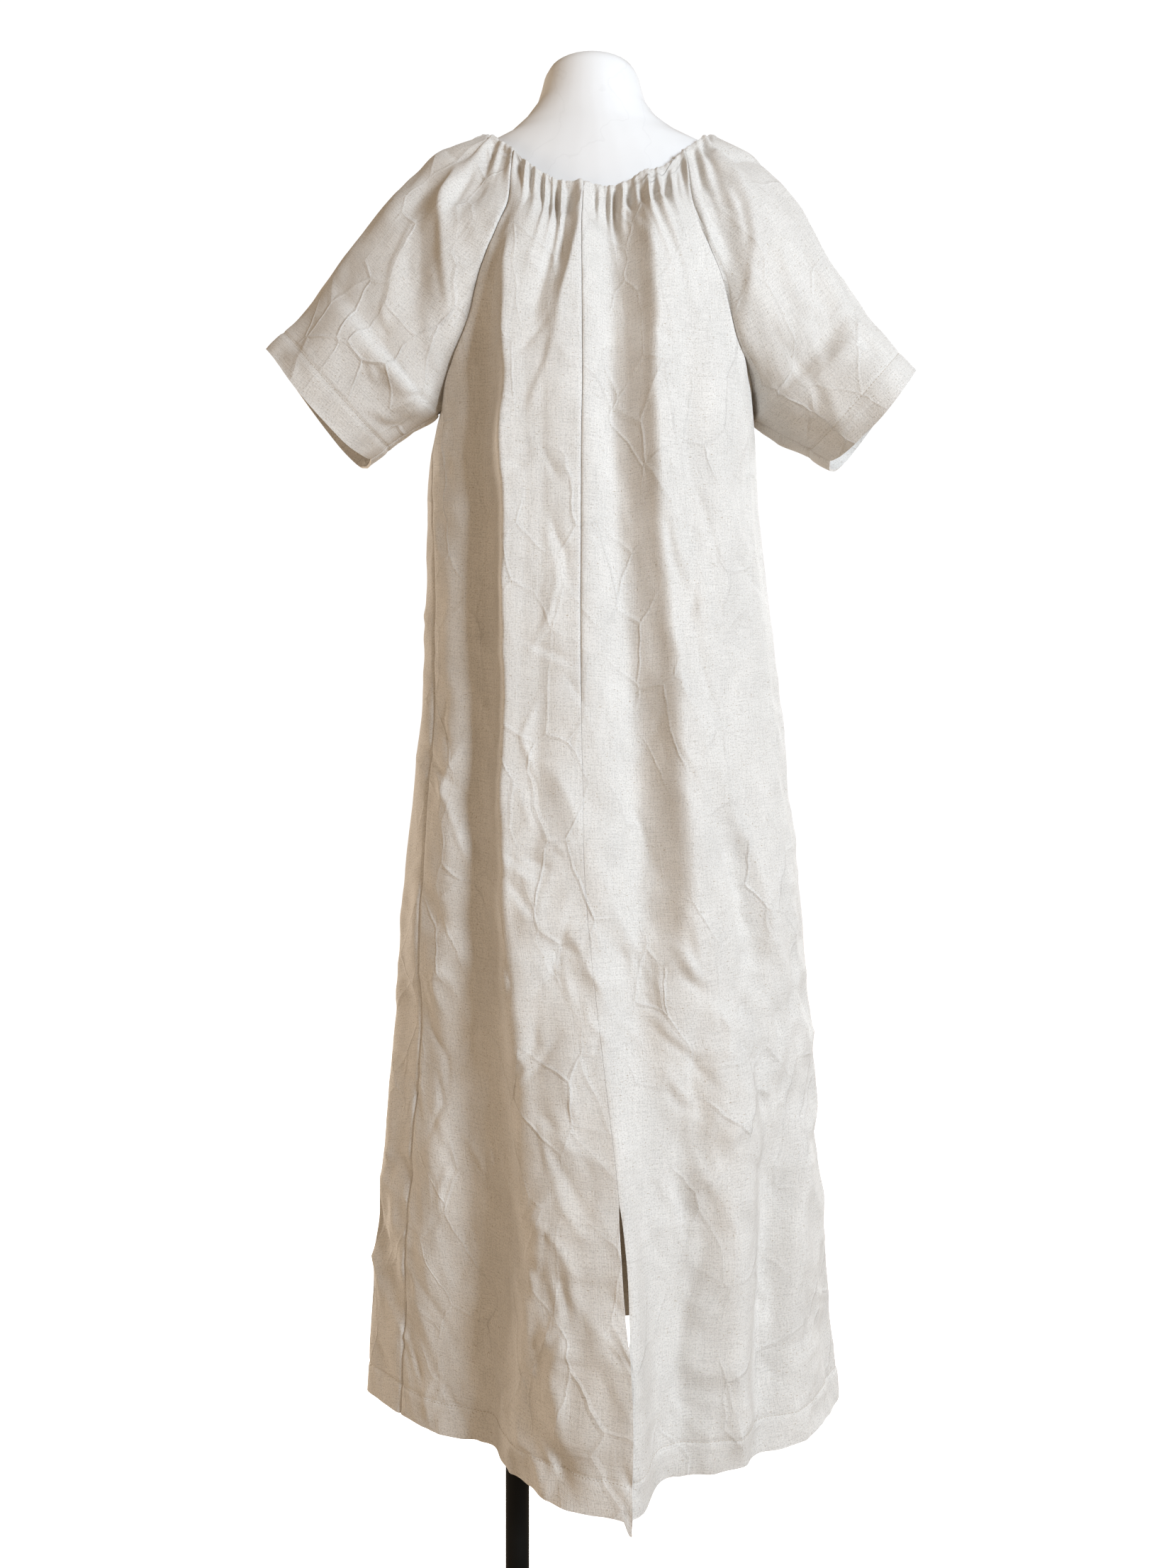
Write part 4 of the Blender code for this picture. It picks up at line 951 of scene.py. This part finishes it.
def sleeve_folds(folds, drop, across):
    """The soft folds of a sleeve, as moves outwards."""
    out = np.zeros((len(drop), len(across)))
    half = SLEEVE_FOLD_FADE / 2
    for fold in folds:
        share = (drop - fold.first) / (fold.last - fold.first)
        centre = fold.across_top + (fold.across_bottom - fold.across_top) * share
        inside = np.minimum(drop - fold.first - half, fold.last - half - drop)
        strength = fold.depth * smooth_share(inside / SLEEVE_FOLD_FADE + 1)
        out += strength[:, None] * bell(across[None, :] - centre[:, None], fold.reach)
    return out


def crease_field(x, z, creases):
    """How far creases move the cloth. x and z are in millimetres."""
    out = np.zeros_like(x)
    for crease in creases:
        reach = CREASE_REACH * max(crease.reach_left, crease.reach_right)
        path = np.array(crease.path, dtype=float)
        path[0] += CREASE_TAIL * (path[0] - path[1])
        path[-1] += CREASE_TAIL * (path[-1] - path[-2])
        heights, places = path.T
        near = (z > min(heights) - reach) & (z < max(heights) + reach)
        near &= (x > min(places) - reach) & (x < max(places) + reach)
        if not near.any():
            continue
        px = x[near]
        pz = z[near]
        best = np.full(px.shape, np.inf)
        side = np.zeros(px.shape)
        along = np.zeros(px.shape)
        lengths = np.hypot(np.diff(heights), np.diff(places))
        done = 0.0
        for start, end, length in zip(path, path[1:], lengths):
            dz, dx = (end - start) / length
            t = np.clip((pz - start[0]) * dz + (px - start[1]) * dx, 0, length)
            off_z = pz - (start[0] + t * dz)
            off_x = px - (start[1] + t * dx)
            away = np.hypot(off_z, off_x)
            closer = away < best
            best = np.where(closer, away, best)
            side = np.where(closer, dx * off_z - dz * off_x, side)
            along = np.where(closer, done + t, along)
            done += length
        fade = np.minimum(along, done - along) / (CREASE_END * done)
        reach = np.where(side > 0, crease.reach_right, crease.reach_left)
        shape = CREASE_NARROW * bell(CREASE_SHARP * best, reach)
        shape += CREASE_BROAD * np.exp(-np.sqrt(best ** 2 + CREASE_ROUND) / (CREASE_FLANK * reach))
        out[near] += CREASE_STRENGTH * crease.out * smooth_share(fade) * shape
    return out


def back_creases():
    """The placed creases of the back."""
    return [Crease(np.reshape(row[3:], (-1, 2)), *row[:3]) for row in BACK_CREASES]


def front_creases():
    """The creases of the front: those of the back, the other way round and a little apart."""
    scale = np.array((FRONT_STRETCH, -FRONT_STRETCH))
    return [
        Crease(c.path * scale + FRONT_SHIFT, c.out * FRONT_STRENGTH, c.reach_right, c.reach_left)
        for c in back_creases()
        if c.path[0][0] < FRONT_TOP
    ]


def strewn_creases(kind):
    """Small random creases, always the same ones."""
    chance = np.random.default_rng(kind.seed)
    creases = []
    for number in range(kind.count):
        height = kind.low + (kind.high - kind.low) * chance.random() ** STREWN_POWER
        x = kind.width * chance.uniform(-1, 1)
        length = chance.uniform(*kind.lengths)
        slant = chance.uniform(-kind.slant, kind.slant)
        bend = chance.uniform(-STREWN_BEND, STREWN_BEND) * length
        dx = length * math.sin(slant) / 2
        dz = length * math.cos(slant) / 2
        out = chance.uniform(*kind.outs) * chance.choice((-1, 1))
        path = ((height + dz, x - dx), (height, x + bend), (height - dz, x + dx))
        creases.append(Crease(path, out, kind.reach, kind.reach))
    return creases


def crease_moves(name, x, z, toward_back, toward_front):
    """The creases of both faces, as moves outwards."""
    back = back_creases()
    front = front_creases()
    strength = MM
    if name in SLEEVES:
        upper = smooth_share((z - SLEEVE_CREASES_FROM) / SLEEVE_CREASES_FADE)
        strength = MM * (SLEEVE_CREASES + (1 - SLEEVE_CREASES) * upper)
    else:
        back += strewn_creases(STREWN_BACK)
        front += strewn_creases(STREWN_FRONT)
    out = toward_back * crease_field(x / MM, z / MM, back)
    out += toward_front * crease_field(x / MM, z / MM, front)
    return strength * out


def gather_waves(name, drop, shares):
    """The gathers and the fine puckers of the neck edge, as moves outwards."""
    counts = [len(troughs) for troughs in GATHER_TROUGHS.values()]
    first = dict(zip(GATHER_TROUGHS, accumulate(counts, initial=0)))
    troughs = GATHER_TROUGHS[name]
    phases = [0.0, *(np.arange(len(troughs)) + 0.5), len(troughs)]
    gather = first[name] + np.interp(shares, (0.0, *troughs, 1.0), phases)
    chance = np.random.default_rng(GATHER_SEED)
    numbers = np.arange(GATHER_DRAWS) + 0.5
    uneven = np.interp(gather, numbers, chance.uniform(*GATHER_DEPTHS, GATHER_DRAWS))
    length = np.interp(gather, numbers, chance.uniform(*GATHER_LENGTHS, GATHER_DRAWS))
    (strength,) = curves(GATHER_SHARES, drop[:, None] / length)
    leaning = gather + GATHER_LEAN * np.sin(2 * np.pi * gather)
    dent = bell(leaning % 1 - 0.5, GATHER_DENT)
    wave = GATHER_DEPTH * uneven * (0.5 * np.cos(2 * np.pi * leaning) - (dent - GATHER_DENT_MEAN))
    pucker = PUCKER_DEPTH * np.cos(2 * np.pi * gather * PUCKERS_A_GATHER + PUCKER_PHASE)
    near_edge = smooth_share(1 - drop / PUCKER_DROP)
    roll = NECK_ROLL * np.sin(np.pi * np.clip(drop / NECK_ROLL_DROP, 0, 1))
    return wave * strength + pucker * near_edge[:, None] + roll[:, None]


def edge_distances(grid):
    """How far each point is from the first and from the last column, along its row."""
    start = along_line(np.linalg.norm(np.diff(grid, axis=1), axis=2).T).T
    return start, start[:, -1:] - start


def from_hem(grid):
    """How far each row is above its hem or cuff, along the cloth."""
    down = along_line(np.linalg.norm(np.diff(grid, axis=0), axis=2).mean(axis=1))
    return down[-1] - down


def seam_shows(z):
    """The centre back seam shows above a certain height."""
    return smooth_share((z - SEAM_SHOWS_DOWN_TO) / SEAM_FADE)


def seam_dips(name, grid):
    """The small valley along each seam, with uneven puckers beside it."""
    start, end = edge_distances(grid)
    pucker = soft_noise(grid, SEAM_PUCKER_SIZE, SEAM_PUCKER_SEED)
    centre = SEAM_HIDDEN + (1 - SEAM_HIDDEN) * seam_shows(grid[..., 2])
    dip = np.zeros_like(pucker)
    for away, at_centre in ((start, name == "back_right"), (end, name == "back_left")):
        deep = centre if at_centre else 1.0
        dip -= SEAM_DIP * deep * np.exp(-away / SEAM_DIP_REACH)
        dip += SEAM_PUCKER * deep * pucker * bell(away, SEAM_PUCKER_REACH)
    return dip


def crumple(grid):
    """Uneven crumples all over the cloth, soft ones and sharp ones, in patches."""
    z = grid[..., 2]
    out = np.zeros_like(z)
    for kind in SOFT_CRUMPLES:
        out += kind.depth * soft_noise(grid * (1.0, 1.0, kind.upright), kind.size, kind.seed)
    patches = soft_noise(grid + PATCH_SHIFT, PATCH_SIZE, PATCH_SEED)
    patches = smooth_share(0.5 + PATCH_CONTRAST * patches)
    slanted = grid @ SLANT
    sharp = np.zeros_like(z)
    for kind in SHARP_CRUMPLES:
        noise = soft_noise(slanted * (1.0, 1.0, kind.upright) + kind.shift, kind.size, kind.seed)
        sharp += (kind.least + kind.more * patches) * (CRUMPLE_MEAN - np.abs(noise))
    lower = smooth_share((CRUMPLE_HEIGHT - z) / CRUMPLE_FADE)
    return out + sharp * (CRUMPLE_TOP + (1 - CRUMPLE_TOP) * lower)


def hem_relief(name, grid):
    """The groove of the hem's stitches and the slight swell of the doubled cloth."""
    below = turn_depth(name) - from_hem(grid)
    groove = -HEM_GROOVE * bell(below, HEM_GROOVE_REACH)
    return groove + HEM_SWELL * smooth_share(below / HEM_SWELL_REACH)


def rest_on_shoulders(x, z, out):
    """Keeps a sleeve from sinking into the form's shoulder."""
    free = smooth_share((SHOULDER_REST - z) / SHOULDER_FADE_DOWN)
    free = np.maximum(free, smooth_share((SHOULDER_START - np.abs(x)) / SHOULDER_FADE_IN))
    return np.maximum(out, -SHOULDER_PLAY - SHOULDER_FREE * free)


def moves_outwards(name, grid, normals, seam_x):
    """How far each point of a panel moves outwards from the base grid."""
    x, y, z = np.moveaxis(grid, -1, 0)
    drop = panel_drops(name, grid)
    shares = column_shares(grid.shape[1])
    toward_back = smooth_share((-normals[..., 1] - FACING_START) / FACING_FADE)
    toward_front = smooth_share((normals[..., 1] - FACING_START) / FACING_FADE)
    out = gather_waves(name, drop, shares)
    if name in SLEEVES:
        out += sleeve_folds(SLEEVES[name].folds, drop, 2 * shares - 1)
        out += step_folds(x, z, SLEEVE_STEPS) * toward_back
    else:
        out += body_folds(name, grid, drop, seam_x)
    out += crease_moves(name, x, z, toward_back, toward_front)
    turned = SIDE_CRUMPLE + (1 - SIDE_CRUMPLE) * np.maximum(toward_back, toward_front)
    out += crumple(grid) * turned * smooth_share(drop / CRUMPLE_START)[:, None]
    out += seam_dips(name, grid)
    out += hem_relief(name, grid)[:, None]
    if name in SLEEVES:
        out = rest_on_shoulders(x, z, out)
    return out[..., None]


def inset_edges(cut):
    """Draws each panel's sewn edges back by half the seam gap."""
    for name, grid in cut.items():
        for edge, neighbour in ((0, 1), (-1, -2)):
            inward = grid[:, neighbour] - grid[:, edge]
            inward = inward / np.linalg.norm(inward, axis=1, keepdims=True)
            gap = SEAM_GAP
            if (name, edge) in (("back_left", -1), ("back_right", 0)):
                gap = CLOSED_GAP + (SEAM_GAP - CLOSED_GAP) * seam_shows(grid[:, [edge], 2])
            grid[:, edge] += inward * gap / 2


def open_vent(cut):
    """Parts the two back panels below the top of the vent."""
    heights = skirt_heights()
    (gaps,) = curves(VENT_GAPS, heights)
    gaps[heights >= VENT_TOP] = 0
    left = cut["back_left"][YOKE_ROWS - 1:]
    right = cut["back_right"][YOKE_ROWS - 1:]
    left_away = edge_distances(left)[1]
    right_away = edge_distances(right)[0]
    left[..., 0] -= gaps[:, None] / 2 * bell(left_away, VENT_REACH)
    right[..., 0] += gaps[:, None] / 2 * bell(right_away, VENT_REACH)
    tuck = VENT_TUCK * smooth_share((VENT_TOP - heights) / VENT_TUCK_FADE)
    right[..., 1] += tuck[:, None] * bell(right_away, VENT_REACH)
    low = smooth_share((TAB_TOP - heights) / (TAB_TOP - HEM_HEIGHT))
    left[..., 2] -= TAB_DROP * low[:, None] * np.exp(-((left_away / TAB_WIDTH) ** TAB_POWER))


def build_dress():
    """The outer grid of each panel and its normals."""
    cut = base_panels()
    groups = seams(cut)
    share_at_seams(cut, groups, unit=False)
    normals = {name: grid_normals(grid) for name, grid in cut.items()}
    share_at_seams(normals, groups, unit=True)
    seam_x = cut["back_left"][:, -1, 0].copy()
    for name, grid in cut.items():
        cut[name] = grid + normals[name] * moves_outwards(name, grid, normals[name], seam_x)
    share_at_seams(cut, groups, unit=False)
    open_vent(cut)
    normals = {name: grid_normals(grid) for name, grid in cut.items()}
    share_at_seams(normals, groups, unit=True)
    inset_edges(cut)
    return cut, normals


def wall_depths(name, grid):
    """The wall's thickness, more where the cloth is turned at the neck and the hem."""
    hem = smooth_share((turn_depth(name) + HEM_STEP_START - from_hem(grid)) / HEM_STEP_REACH)
    neck = smooth_share(1 - panel_drops(name, grid) / NECK_ROLL_DROP)
    wall = CLOTH_WALL + (HEM_WALL - CLOTH_WALL) * hem + (NECK_WALL - CLOTH_WALL) * neck
    return wall[:, None, None]


def cloth_places(name, grid):
    """Where each point lies on the flat cloth, in metres: across the grain and down it."""
    start, end = edge_distances(grid)
    if name == "back_left":
        across = -end
    elif name == "back_right":
        across = start
    else:
        across = start - start[:, [grid.shape[1] // 2]]
    down = along_line(np.linalg.norm(np.diff(grid, axis=0), axis=2))
    mean_down = down.mean(axis=1, keepdims=True)
    return np.stack([across, -(GRAIN_OWN * down + (1 - GRAIN_OWN) * mean_down)], axis=-1)


def add_mesh(name, points, faces, material):
    mesh = bpy.data.meshes.new(name)
    mesh.from_pydata(points, [], faces)
    mesh.materials.append(material)
    mesh.shade_smooth()
    thing = bpy.data.objects.new(name, mesh)
    bpy.context.scene.collection.objects.link(thing)
    return thing


def cloth_piece(name, outer, normals, material):
    """A closed wall from the outer grid, with its grain as a UV map."""
    rows, columns = outer.shape[:2]
    inner = outer - normals * wall_depths(name, outer)
    points = np.concatenate([outer.reshape(-1, 3), inner.reshape(-1, 3)])
    index = np.arange(rows * columns).reshape(rows, columns)
    corners = (index[:-1, :-1], index[1:, :-1], index[1:, 1:], index[:-1, 1:])
    outer_faces = np.stack(corners, axis=-1).reshape(-1, 4)
    inner_faces = outer_faces[:, ::-1] + rows * columns
    rim = np.concatenate([index[0, :0:-1], index[:-1, 0], index[-1, :-1], index[:0:-1, -1]])
    after = np.roll(rim, -1)
    rim_faces = np.stack([after, rim, rim + rows * columns, after + rows * columns], axis=-1)
    faces = np.concatenate([outer_faces, inner_faces, rim_faces])
    piece = add_mesh(f"{name}_cloth", points.tolist(), faces.tolist(), material)
    grain = np.tile(cloth_places(name, outer).reshape(-1, 2), (2, 1))
    uv = piece.data.uv_layers.new(name="grain")
    uv.data.foreach_set("uv", grain[faces.ravel()].ravel())
    piece.data.set_sharp_from_angle(angle=math.radians(SHARP_ANGLE))
    return piece


def at_place(values, along, place):
    """The values of a row of points, read at one length along it."""
    return np.array([np.interp(place, along, axis) for axis in values.T])


def stitch_points(ends, up):
    """The points of one short stitch: a tip, two rings and a tip."""
    way = (ends[3] - ends[0]) / np.linalg.norm(ends[3] - ends[0])
    angles = 2 * math.pi * np.arange(STITCH_SIDES) / STITCH_SIDES
    ring = np.outer(np.cos(angles), np.cross(way, up)) + np.outer(np.sin(angles), up)
    sunk = up * STITCH_RADIUS * 0.5
    rings = [ends[1] + STITCH_RADIUS * ring, ends[2] + STITCH_RADIUS * ring]
    return np.concatenate([[ends[0] - sunk], *rings, [ends[3] - sunk]])


def stitch_faces(base):
    """The faces of the stitch whose points start at base."""
    low = base + 1
    high = low + STITCH_SIDES
    faces = []
    for turn in range(STITCH_SIDES):
        after = (turn + 1) % STITCH_SIDES
        faces.append((base, low + after, low + turn))
        faces.append((low + turn, low + after, high + after, high + turn))
        faces.append((high + STITCH_SIDES, high + turn, high + after))
    return faces


def hem_stitches(name, grid, normals, material):
    """The run of short stitches that holds a panel's hem or cuff."""
    row = int(np.argmin(np.abs(from_hem(grid) - turn_depth(name))))
    path = grid[row] + normals[row] * STITCH_LIFT
    along = along_line(np.linalg.norm(np.diff(path, axis=0), axis=1))
    last = along[-1] - STITCH_LENGTH - STITCH_SPACING
    points = []
    faces = []
    for place in np.arange(STITCH_SPACING, last, STITCH_SPACING):
        ends = [at_place(path, along, place + part * STITCH_LENGTH) for part in STITCH_PARTS]
        up = at_place(normals[row], along, place)
        faces += stitch_faces(len(points))
        points += stitch_points(ends, up / np.linalg.norm(up)).tolist()
    return add_mesh(f"{name}_stitches", points, faces, material)


def set_inputs(tree, node, inputs):
    """Gives a node's inputs their values, or links them to other nodes' outputs."""
    for key, value in inputs.items():
        if isinstance(value, bpy.types.NodeSocket):
            tree.links.new(value, node.inputs[key])
        else:
            node.inputs[key].default_value = value


def add_node(tree, kind, inputs, **settings):
    """A new node with its inputs, and with settings such as its operation."""
    node = tree.nodes.new(kind)
    for key, value in settings.items():
        setattr(node, key, value)
    set_inputs(tree, node, inputs)
    return node


def noise(tree, vector, scale, detail, output="Fac"):
    """Noise of one scale, or of one across and one down, so that it is longer one way."""
    if isinstance(scale, tuple):
        stretch = add_node(tree, "ShaderNodeMapping", {"Vector": vector, "Scale": (*scale, 1.0)})
        vector = stretch.outputs["Vector"]
        scale = 1.0
    inputs = {"Vector": vector, "Scale": scale, "Detail": detail}
    return add_node(tree, "ShaderNodeTexNoise", inputs).outputs[output]


def ramp(tree, value, stops):
    """Shades of grey by value, from (position, shade) stops."""
    node = add_node(tree, "ShaderNodeValToRGB", {"Fac": value})
    elements = node.color_ramp.elements
    while len(elements) < len(stops):
        elements.new(0.5)
    for element, (position, shade) in zip(elements, stops):
        element.position = position
        element.color = (shade, shade, shade, 1.0)
    return node.outputs["Color"]


def math_node(tree, operation, *values):
    inputs = dict(enumerate(values))
    return add_node(tree, "ShaderNodeMath", inputs, operation=operation).outputs["Value"]


def mix_colour(tree, blend, share, first, second):
    inputs = {0: share, 6: first, 7: second}
    return add_node(tree, "ShaderNodeMix", inputs, data_type="RGBA", blend_type=blend).outputs[2]


def bump_node(tree, strength, distance, inputs):
    inputs = {"Strength": strength, "Distance": distance, **inputs}
    return add_node(tree, "ShaderNodeBump", inputs).outputs["Normal"]


def object_place(tree):
    return add_node(tree, "ShaderNodeTexCoord", {}).outputs["Object"]


def new_material(name, make):
    """A material whose shader has the inputs that a function of its node tree gives."""
    material = bpy.data.materials.new(name)
    material.use_nodes = True
    tree = material.node_tree
    set_inputs(tree, tree.nodes["Principled BSDF"], make(tree))
    return material


# A tone is noise on the cloth: its scale across and down, its detail, and the shades it gives
Tone = namedtuple("Tone", "scale detail shades")

# The hair-thin lines: how many and how bent they are, which way they are longer, the profile
# of one line, and the patches in which they show
FINE_SCALE = 18.0
FINE_BEND_SCALE = 22.0
FINE_BEND = (0.014, 0.014, 0.0)
FINE_TURN = (0.0, 0.0, 0.35)
FINE_STRETCH = (1.2, 0.75, 1.0)
FINE_LINE = ((0.0, 1.0), (0.04, 0.6), (0.5, 0.0))
FINE_PATCHES = Tone((14, 9), 1, ((0.42, 0.12), (0.64, 1.0)))


def fine_creases(tree, grain):
    """Hair-thin pressed lines, in patches, as a height from 0 to 1."""
    bend = noise(tree, grain, FINE_BEND_SCALE, 2.0, output="Color")
    inputs = {0: bend, 1: FINE_BEND, 2: grain}
    bent = add_node(tree, "ShaderNodeVectorMath", inputs, operation="MULTIPLY_ADD")
    bent = bent.outputs["Vector"]
    inputs = {"Vector": bent, "Rotation": FINE_TURN, "Scale": FINE_STRETCH}
    longer = add_node(tree, "ShaderNodeMapping", inputs).outputs["Vector"]
    inputs = {"Vector": longer, "Scale": FINE_SCALE}
    cells = add_node(tree, "ShaderNodeTexVoronoi", inputs, feature="DISTANCE_TO_EDGE")
    lines = ramp(tree, cells.outputs["Distance"], FINE_LINE)
    patches = noise(tree, grain, FINE_PATCHES.scale, FINE_PATCHES.detail)
    return math_node(tree, "MULTIPLY", lines, ramp(tree, patches, FINE_PATCHES.shades))


# The linen's weft and warp yarns, clouds and speckles, and its flecks each way
LINEN_TONES = (
    Tone((45, 950), 2, ((0.30, 0.91), (0.52, 1.0), (0.74, 1.04))),
    Tone((950, 38), 2, ((0.30, 0.92), (0.52, 1.0), (0.74, 1.04))),
    Tone((26, 14), 3, ((0.30, 0.95), (0.70, 1.04))),
    Tone((620, 620), 3, ((0.32, 0.80), (0.50, 1.0), (0.72, 1.06))),
)
LINEN_FLECKS = (
    Tone((260, 900), 1, ((0.67, 0.0), (0.77, 0.8))),
    Tone((900, 240), 1, ((0.69, 0.0), (0.79, 0.8))),
)
LINEN_COLOUR = (0.740, 0.712, 0.672, 1.0)
FLECK_COLOUR = (0.36, 0.28, 0.19, 1.0)
THREAD_COLOUR = (0.60, 0.54, 0.46, 1.0)
SHELL_COLOUR = (0.86, 0.86, 0.86, 1.0)
BLACK = (0.0045, 0.0045, 0.004, 1.0)
YARNS = 4800.0


def linen(tree):
    """Plain woven natural linen: oatmeal yarns with slubs, flecks and a dry matt face."""
    grain = add_node(tree, "ShaderNodeUVMap", {}, uv_map="grain").outputs["UV"]
    noises = [noise(tree, grain, tone.scale, tone.detail) for tone in LINEN_TONES]
    colour = LINEN_COLOUR
    for value, tone in zip(noises, LINEN_TONES):
        colour = mix_colour(tree, "MULTIPLY", 1.0, colour, ramp(tree, value, tone.shades))
    for fleck in LINEN_FLECKS:
        share = ramp(tree, noise(tree, grain, fleck.scale, fleck.detail), fleck.shades)
        colour = mix_colour(tree, "MIX", share, colour, FLECK_COLOUR)
    across, down = add_node(tree, "ShaderNodeSeparateXYZ", {"Vector": grain}).outputs[:2]
    weft = math_node(tree, "SINE", math_node(tree, "MULTIPLY", across, YARNS))
    warp = math_node(tree, "SINE", math_node(tree, "MULTIPLY", down, YARNS))
    slub = math_node(tree, "ADD", noises[0], noises[1])
    weave = math_node(tree, "MULTIPLY", math_node(tree, "MULTIPLY", weft, warp), 0.25)
    relief = math_node(tree, "ADD", weave, slub)
    creased = bump_node(tree, 0.8, 0.0026, {"Height": fine_creases(tree, grain)})
    return {
        "Base Color": colour,
        "Normal": bump_node(tree, 0.5, 0.0006, {"Height": relief, "Normal": creased}),
        "Roughness": ramp(tree, slub, ((0.6, 0.80), (1.4, 0.95))),
        "Sheen Weight": 0.12,
        "Sheen Roughness": 0.5,
        "Specular IOR Level": 0.25,
    }


def thread(tree):
    """Sewing thread, a little darker than the cloth."""
    tone = ramp(tree, noise(tree, object_place(tree), 900.0, 2.0), ((0.3, 0.85), (0.7, 1.05)))
    colour = mix_colour(tree, "MULTIPLY", 1.0, THREAD_COLOUR, tone)
    return {"Base Color": colour, "Roughness": 0.7}


def shell(tree):
    """The form's off-white shell, with faint scuffs, a soft shine and rounded edges."""
    place = object_place(tree)
    cloudy = noise(tree, place, 9.0, 4.0)
    inputs = {"Scale": 5.0, "Distortion": 14.0, "Detail": 4.0, "Detail Scale": 2.0}
    scuffs = add_node(tree, "ShaderNodeTexWave", {"Vector": place, **inputs}).outputs["Fac"]
    tone = ramp(tree, cloudy, ((0.3, 0.95), (0.7, 1.02)))
    colour = mix_colour(tree, "MULTIPLY", 1.0, SHELL_COLOUR, tone)
    line = ramp(tree, scuffs, ((0.0, 0.90), (0.012, 1.0)))
    rounded = add_node(tree, "ShaderNodeBevel", {"Radius": 0.012}, samples=6)
    return {
        "Base Color": mix_colour(tree, "MULTIPLY", 0.35, colour, line),
        "Roughness": ramp(tree, cloudy, ((0.3, 0.34), (0.7, 0.48))),
        "Normal": rounded.outputs["Normal"],
    }


def black_coat(tree):
    """Black powder coat with a fine grain."""
    place = object_place(tree)
    wear = noise(tree, place, 25.0, 4.0)
    tone = ramp(tree, wear, ((0.35, 0.8), (0.65, 1.3)))
    return {
        "Base Color": mix_colour(tree, "MULTIPLY", 1.0, BLACK, tone),
        "Roughness": ramp(tree, wear, ((0.3, 0.42), (0.7, 0.58))),
        "Normal": bump_node(tree, 0.3, 0.0002, {"Height": noise(tree, place, 600.0, 2.0)}),
        "Specular IOR Level": 0.15,
    }


def paper(tree):
    """The pale studio floor."""
    return {
        "Base Color": (0.9, 0.9, 0.9, 1.0),
        "Roughness": 0.9,
        "Emission Color": (1.0, 1.0, 1.0, 1.0),
        "Emission Strength": 1.0,
    }


# The cut of each panel: its width and length flat on the table, and its flat area
Cut = namedtuple("Cut", "width length area")


def dress():
    cut, normals = build_dress()
    cloth = new_material("linen_weave", linen)
    yarn = new_material("sewing_thread", thread)
    stitches = {name: hem_stitches(name, cut[name], normals[name], yarn) for name in cut}
    for name, grid in cut.items():
        piece = cloth_piece(name, grid, normals[name], cloth)
        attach(piece, "root")
        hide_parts(name)
        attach(stitches[name], "root")


def form_and_stand():
    coat = new_material("black_coat", black_coat)
    coats = {"form_torso": new_material("form_shell", shell)}
    for node in ("form_torso", "pole", "pole_socket", "base_collar", "base_plate"):
        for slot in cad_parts[node].material_slots:
            slot.material = coats.get(node, coat)


# Soft lights: where each is, what it points at, its width, its watts and its colour
Light = namedtuple("Light", "name place target size power colour")
LIGHTS = (
    Light("key", (2.14, -2.50, 1.95), (0.0, 0.0, 1.05), 0.8, 124.0, (0.78, 0.885, 1.0)),
    Light("low", (-1.9, -1.5, 0.35), (-0.15, -0.1, 0.55), 1.0, 10.0, (1.0, 0.84, 0.70)),
    Light("fill", (-2.25, 1.8, 0.8), (0.0, 0.0, 0.7), 1.2, 52.0, (1.0, 0.89, 0.78)),
    Light("rear", (1.9, 2.4, 2.1), (0.0, 0.0, 1.1), 1.0, 70.0, (0.88, 0.94, 1.0)),
)
FLOOR_HALF = 8.0


def soft_light(spec):
    light = bpy.data.lights.new(spec.name, "AREA")
    light.shape = "SQUARE"
    light.size = spec.size
    light.energy = spec.power
    light.color = spec.colour
    lamp = bpy.data.objects.new(spec.name, light)
    lamp.location = spec.place
    way = [t - p for t, p in zip(spec.target, spec.place)]
    flat = math.hypot(way[0], way[1])
    lamp.rotation_euler = (math.atan2(flat, -way[2]), 0.0, math.atan2(-way[0], way[1]))
    bpy.context.scene.collection.objects.link(lamp)


def surround():
    """A white surround that lights the dress more weakly and warmly than it looks."""
    world = bpy.data.worlds.new("surround")
    bpy.context.scene.world = world
    world.use_nodes = True
    tree = world.node_tree
    lit = tree.nodes["Background"]
    set_inputs(tree, lit, {"Color": (1.0, 0.75, 0.50, 1.0), "Strength": 0.33})
    seen = add_node(tree, "ShaderNodeBackground", {"Color": (1.0, 1.0, 1.0, 1.0), "Strength": 1.05})
    path = add_node(tree, "ShaderNodeLightPath", {}).outputs["Is Camera Ray"]
    shaders = {"Fac": path, 1: lit.outputs["Background"], 2: seen.outputs["Background"]}
    mix = add_node(tree, "ShaderNodeMixShader", shaders)
    set_inputs(tree, tree.nodes["World Output"], {"Surface": mix.outputs["Shader"]})


def studio():
    """A pale floor, a white surround and soft light from the right."""
    bpy.context.scene.view_settings.view_transform = "Standard"
    corners = [(FLOOR_HALF * x, FLOOR_HALF * y, 0) for x, y in ((-1, -1), (1, -1), (1, 1), (-1, 1))]
    floor = add_mesh("floor", corners, [(0, 1, 2, 3)], new_material("floor_paper", paper))
    floor.visible_diffuse = False
    floor.visible_glossy = False
    surround()
    for spec in LIGHTS:
        soft_light(spec)


def camera():
    """Level, straight at the back of the dress, from 1.25 m."""
    data = bpy.data.cameras.new("view")
    data.lens = 27.0
    data.sensor_width = 36.0
    data.clip_start = 0.05
    view = bpy.data.objects.new("view", data)
    view.location = (-0.012, -1.25, 1.0)
    view.rotation_euler = (math.radians(90), 0.0, 0.0)
    bpy.context.scene.collection.objects.link(view)
    bpy.context.scene.camera = view


camera()
studio()
dress()
form_and_stand()
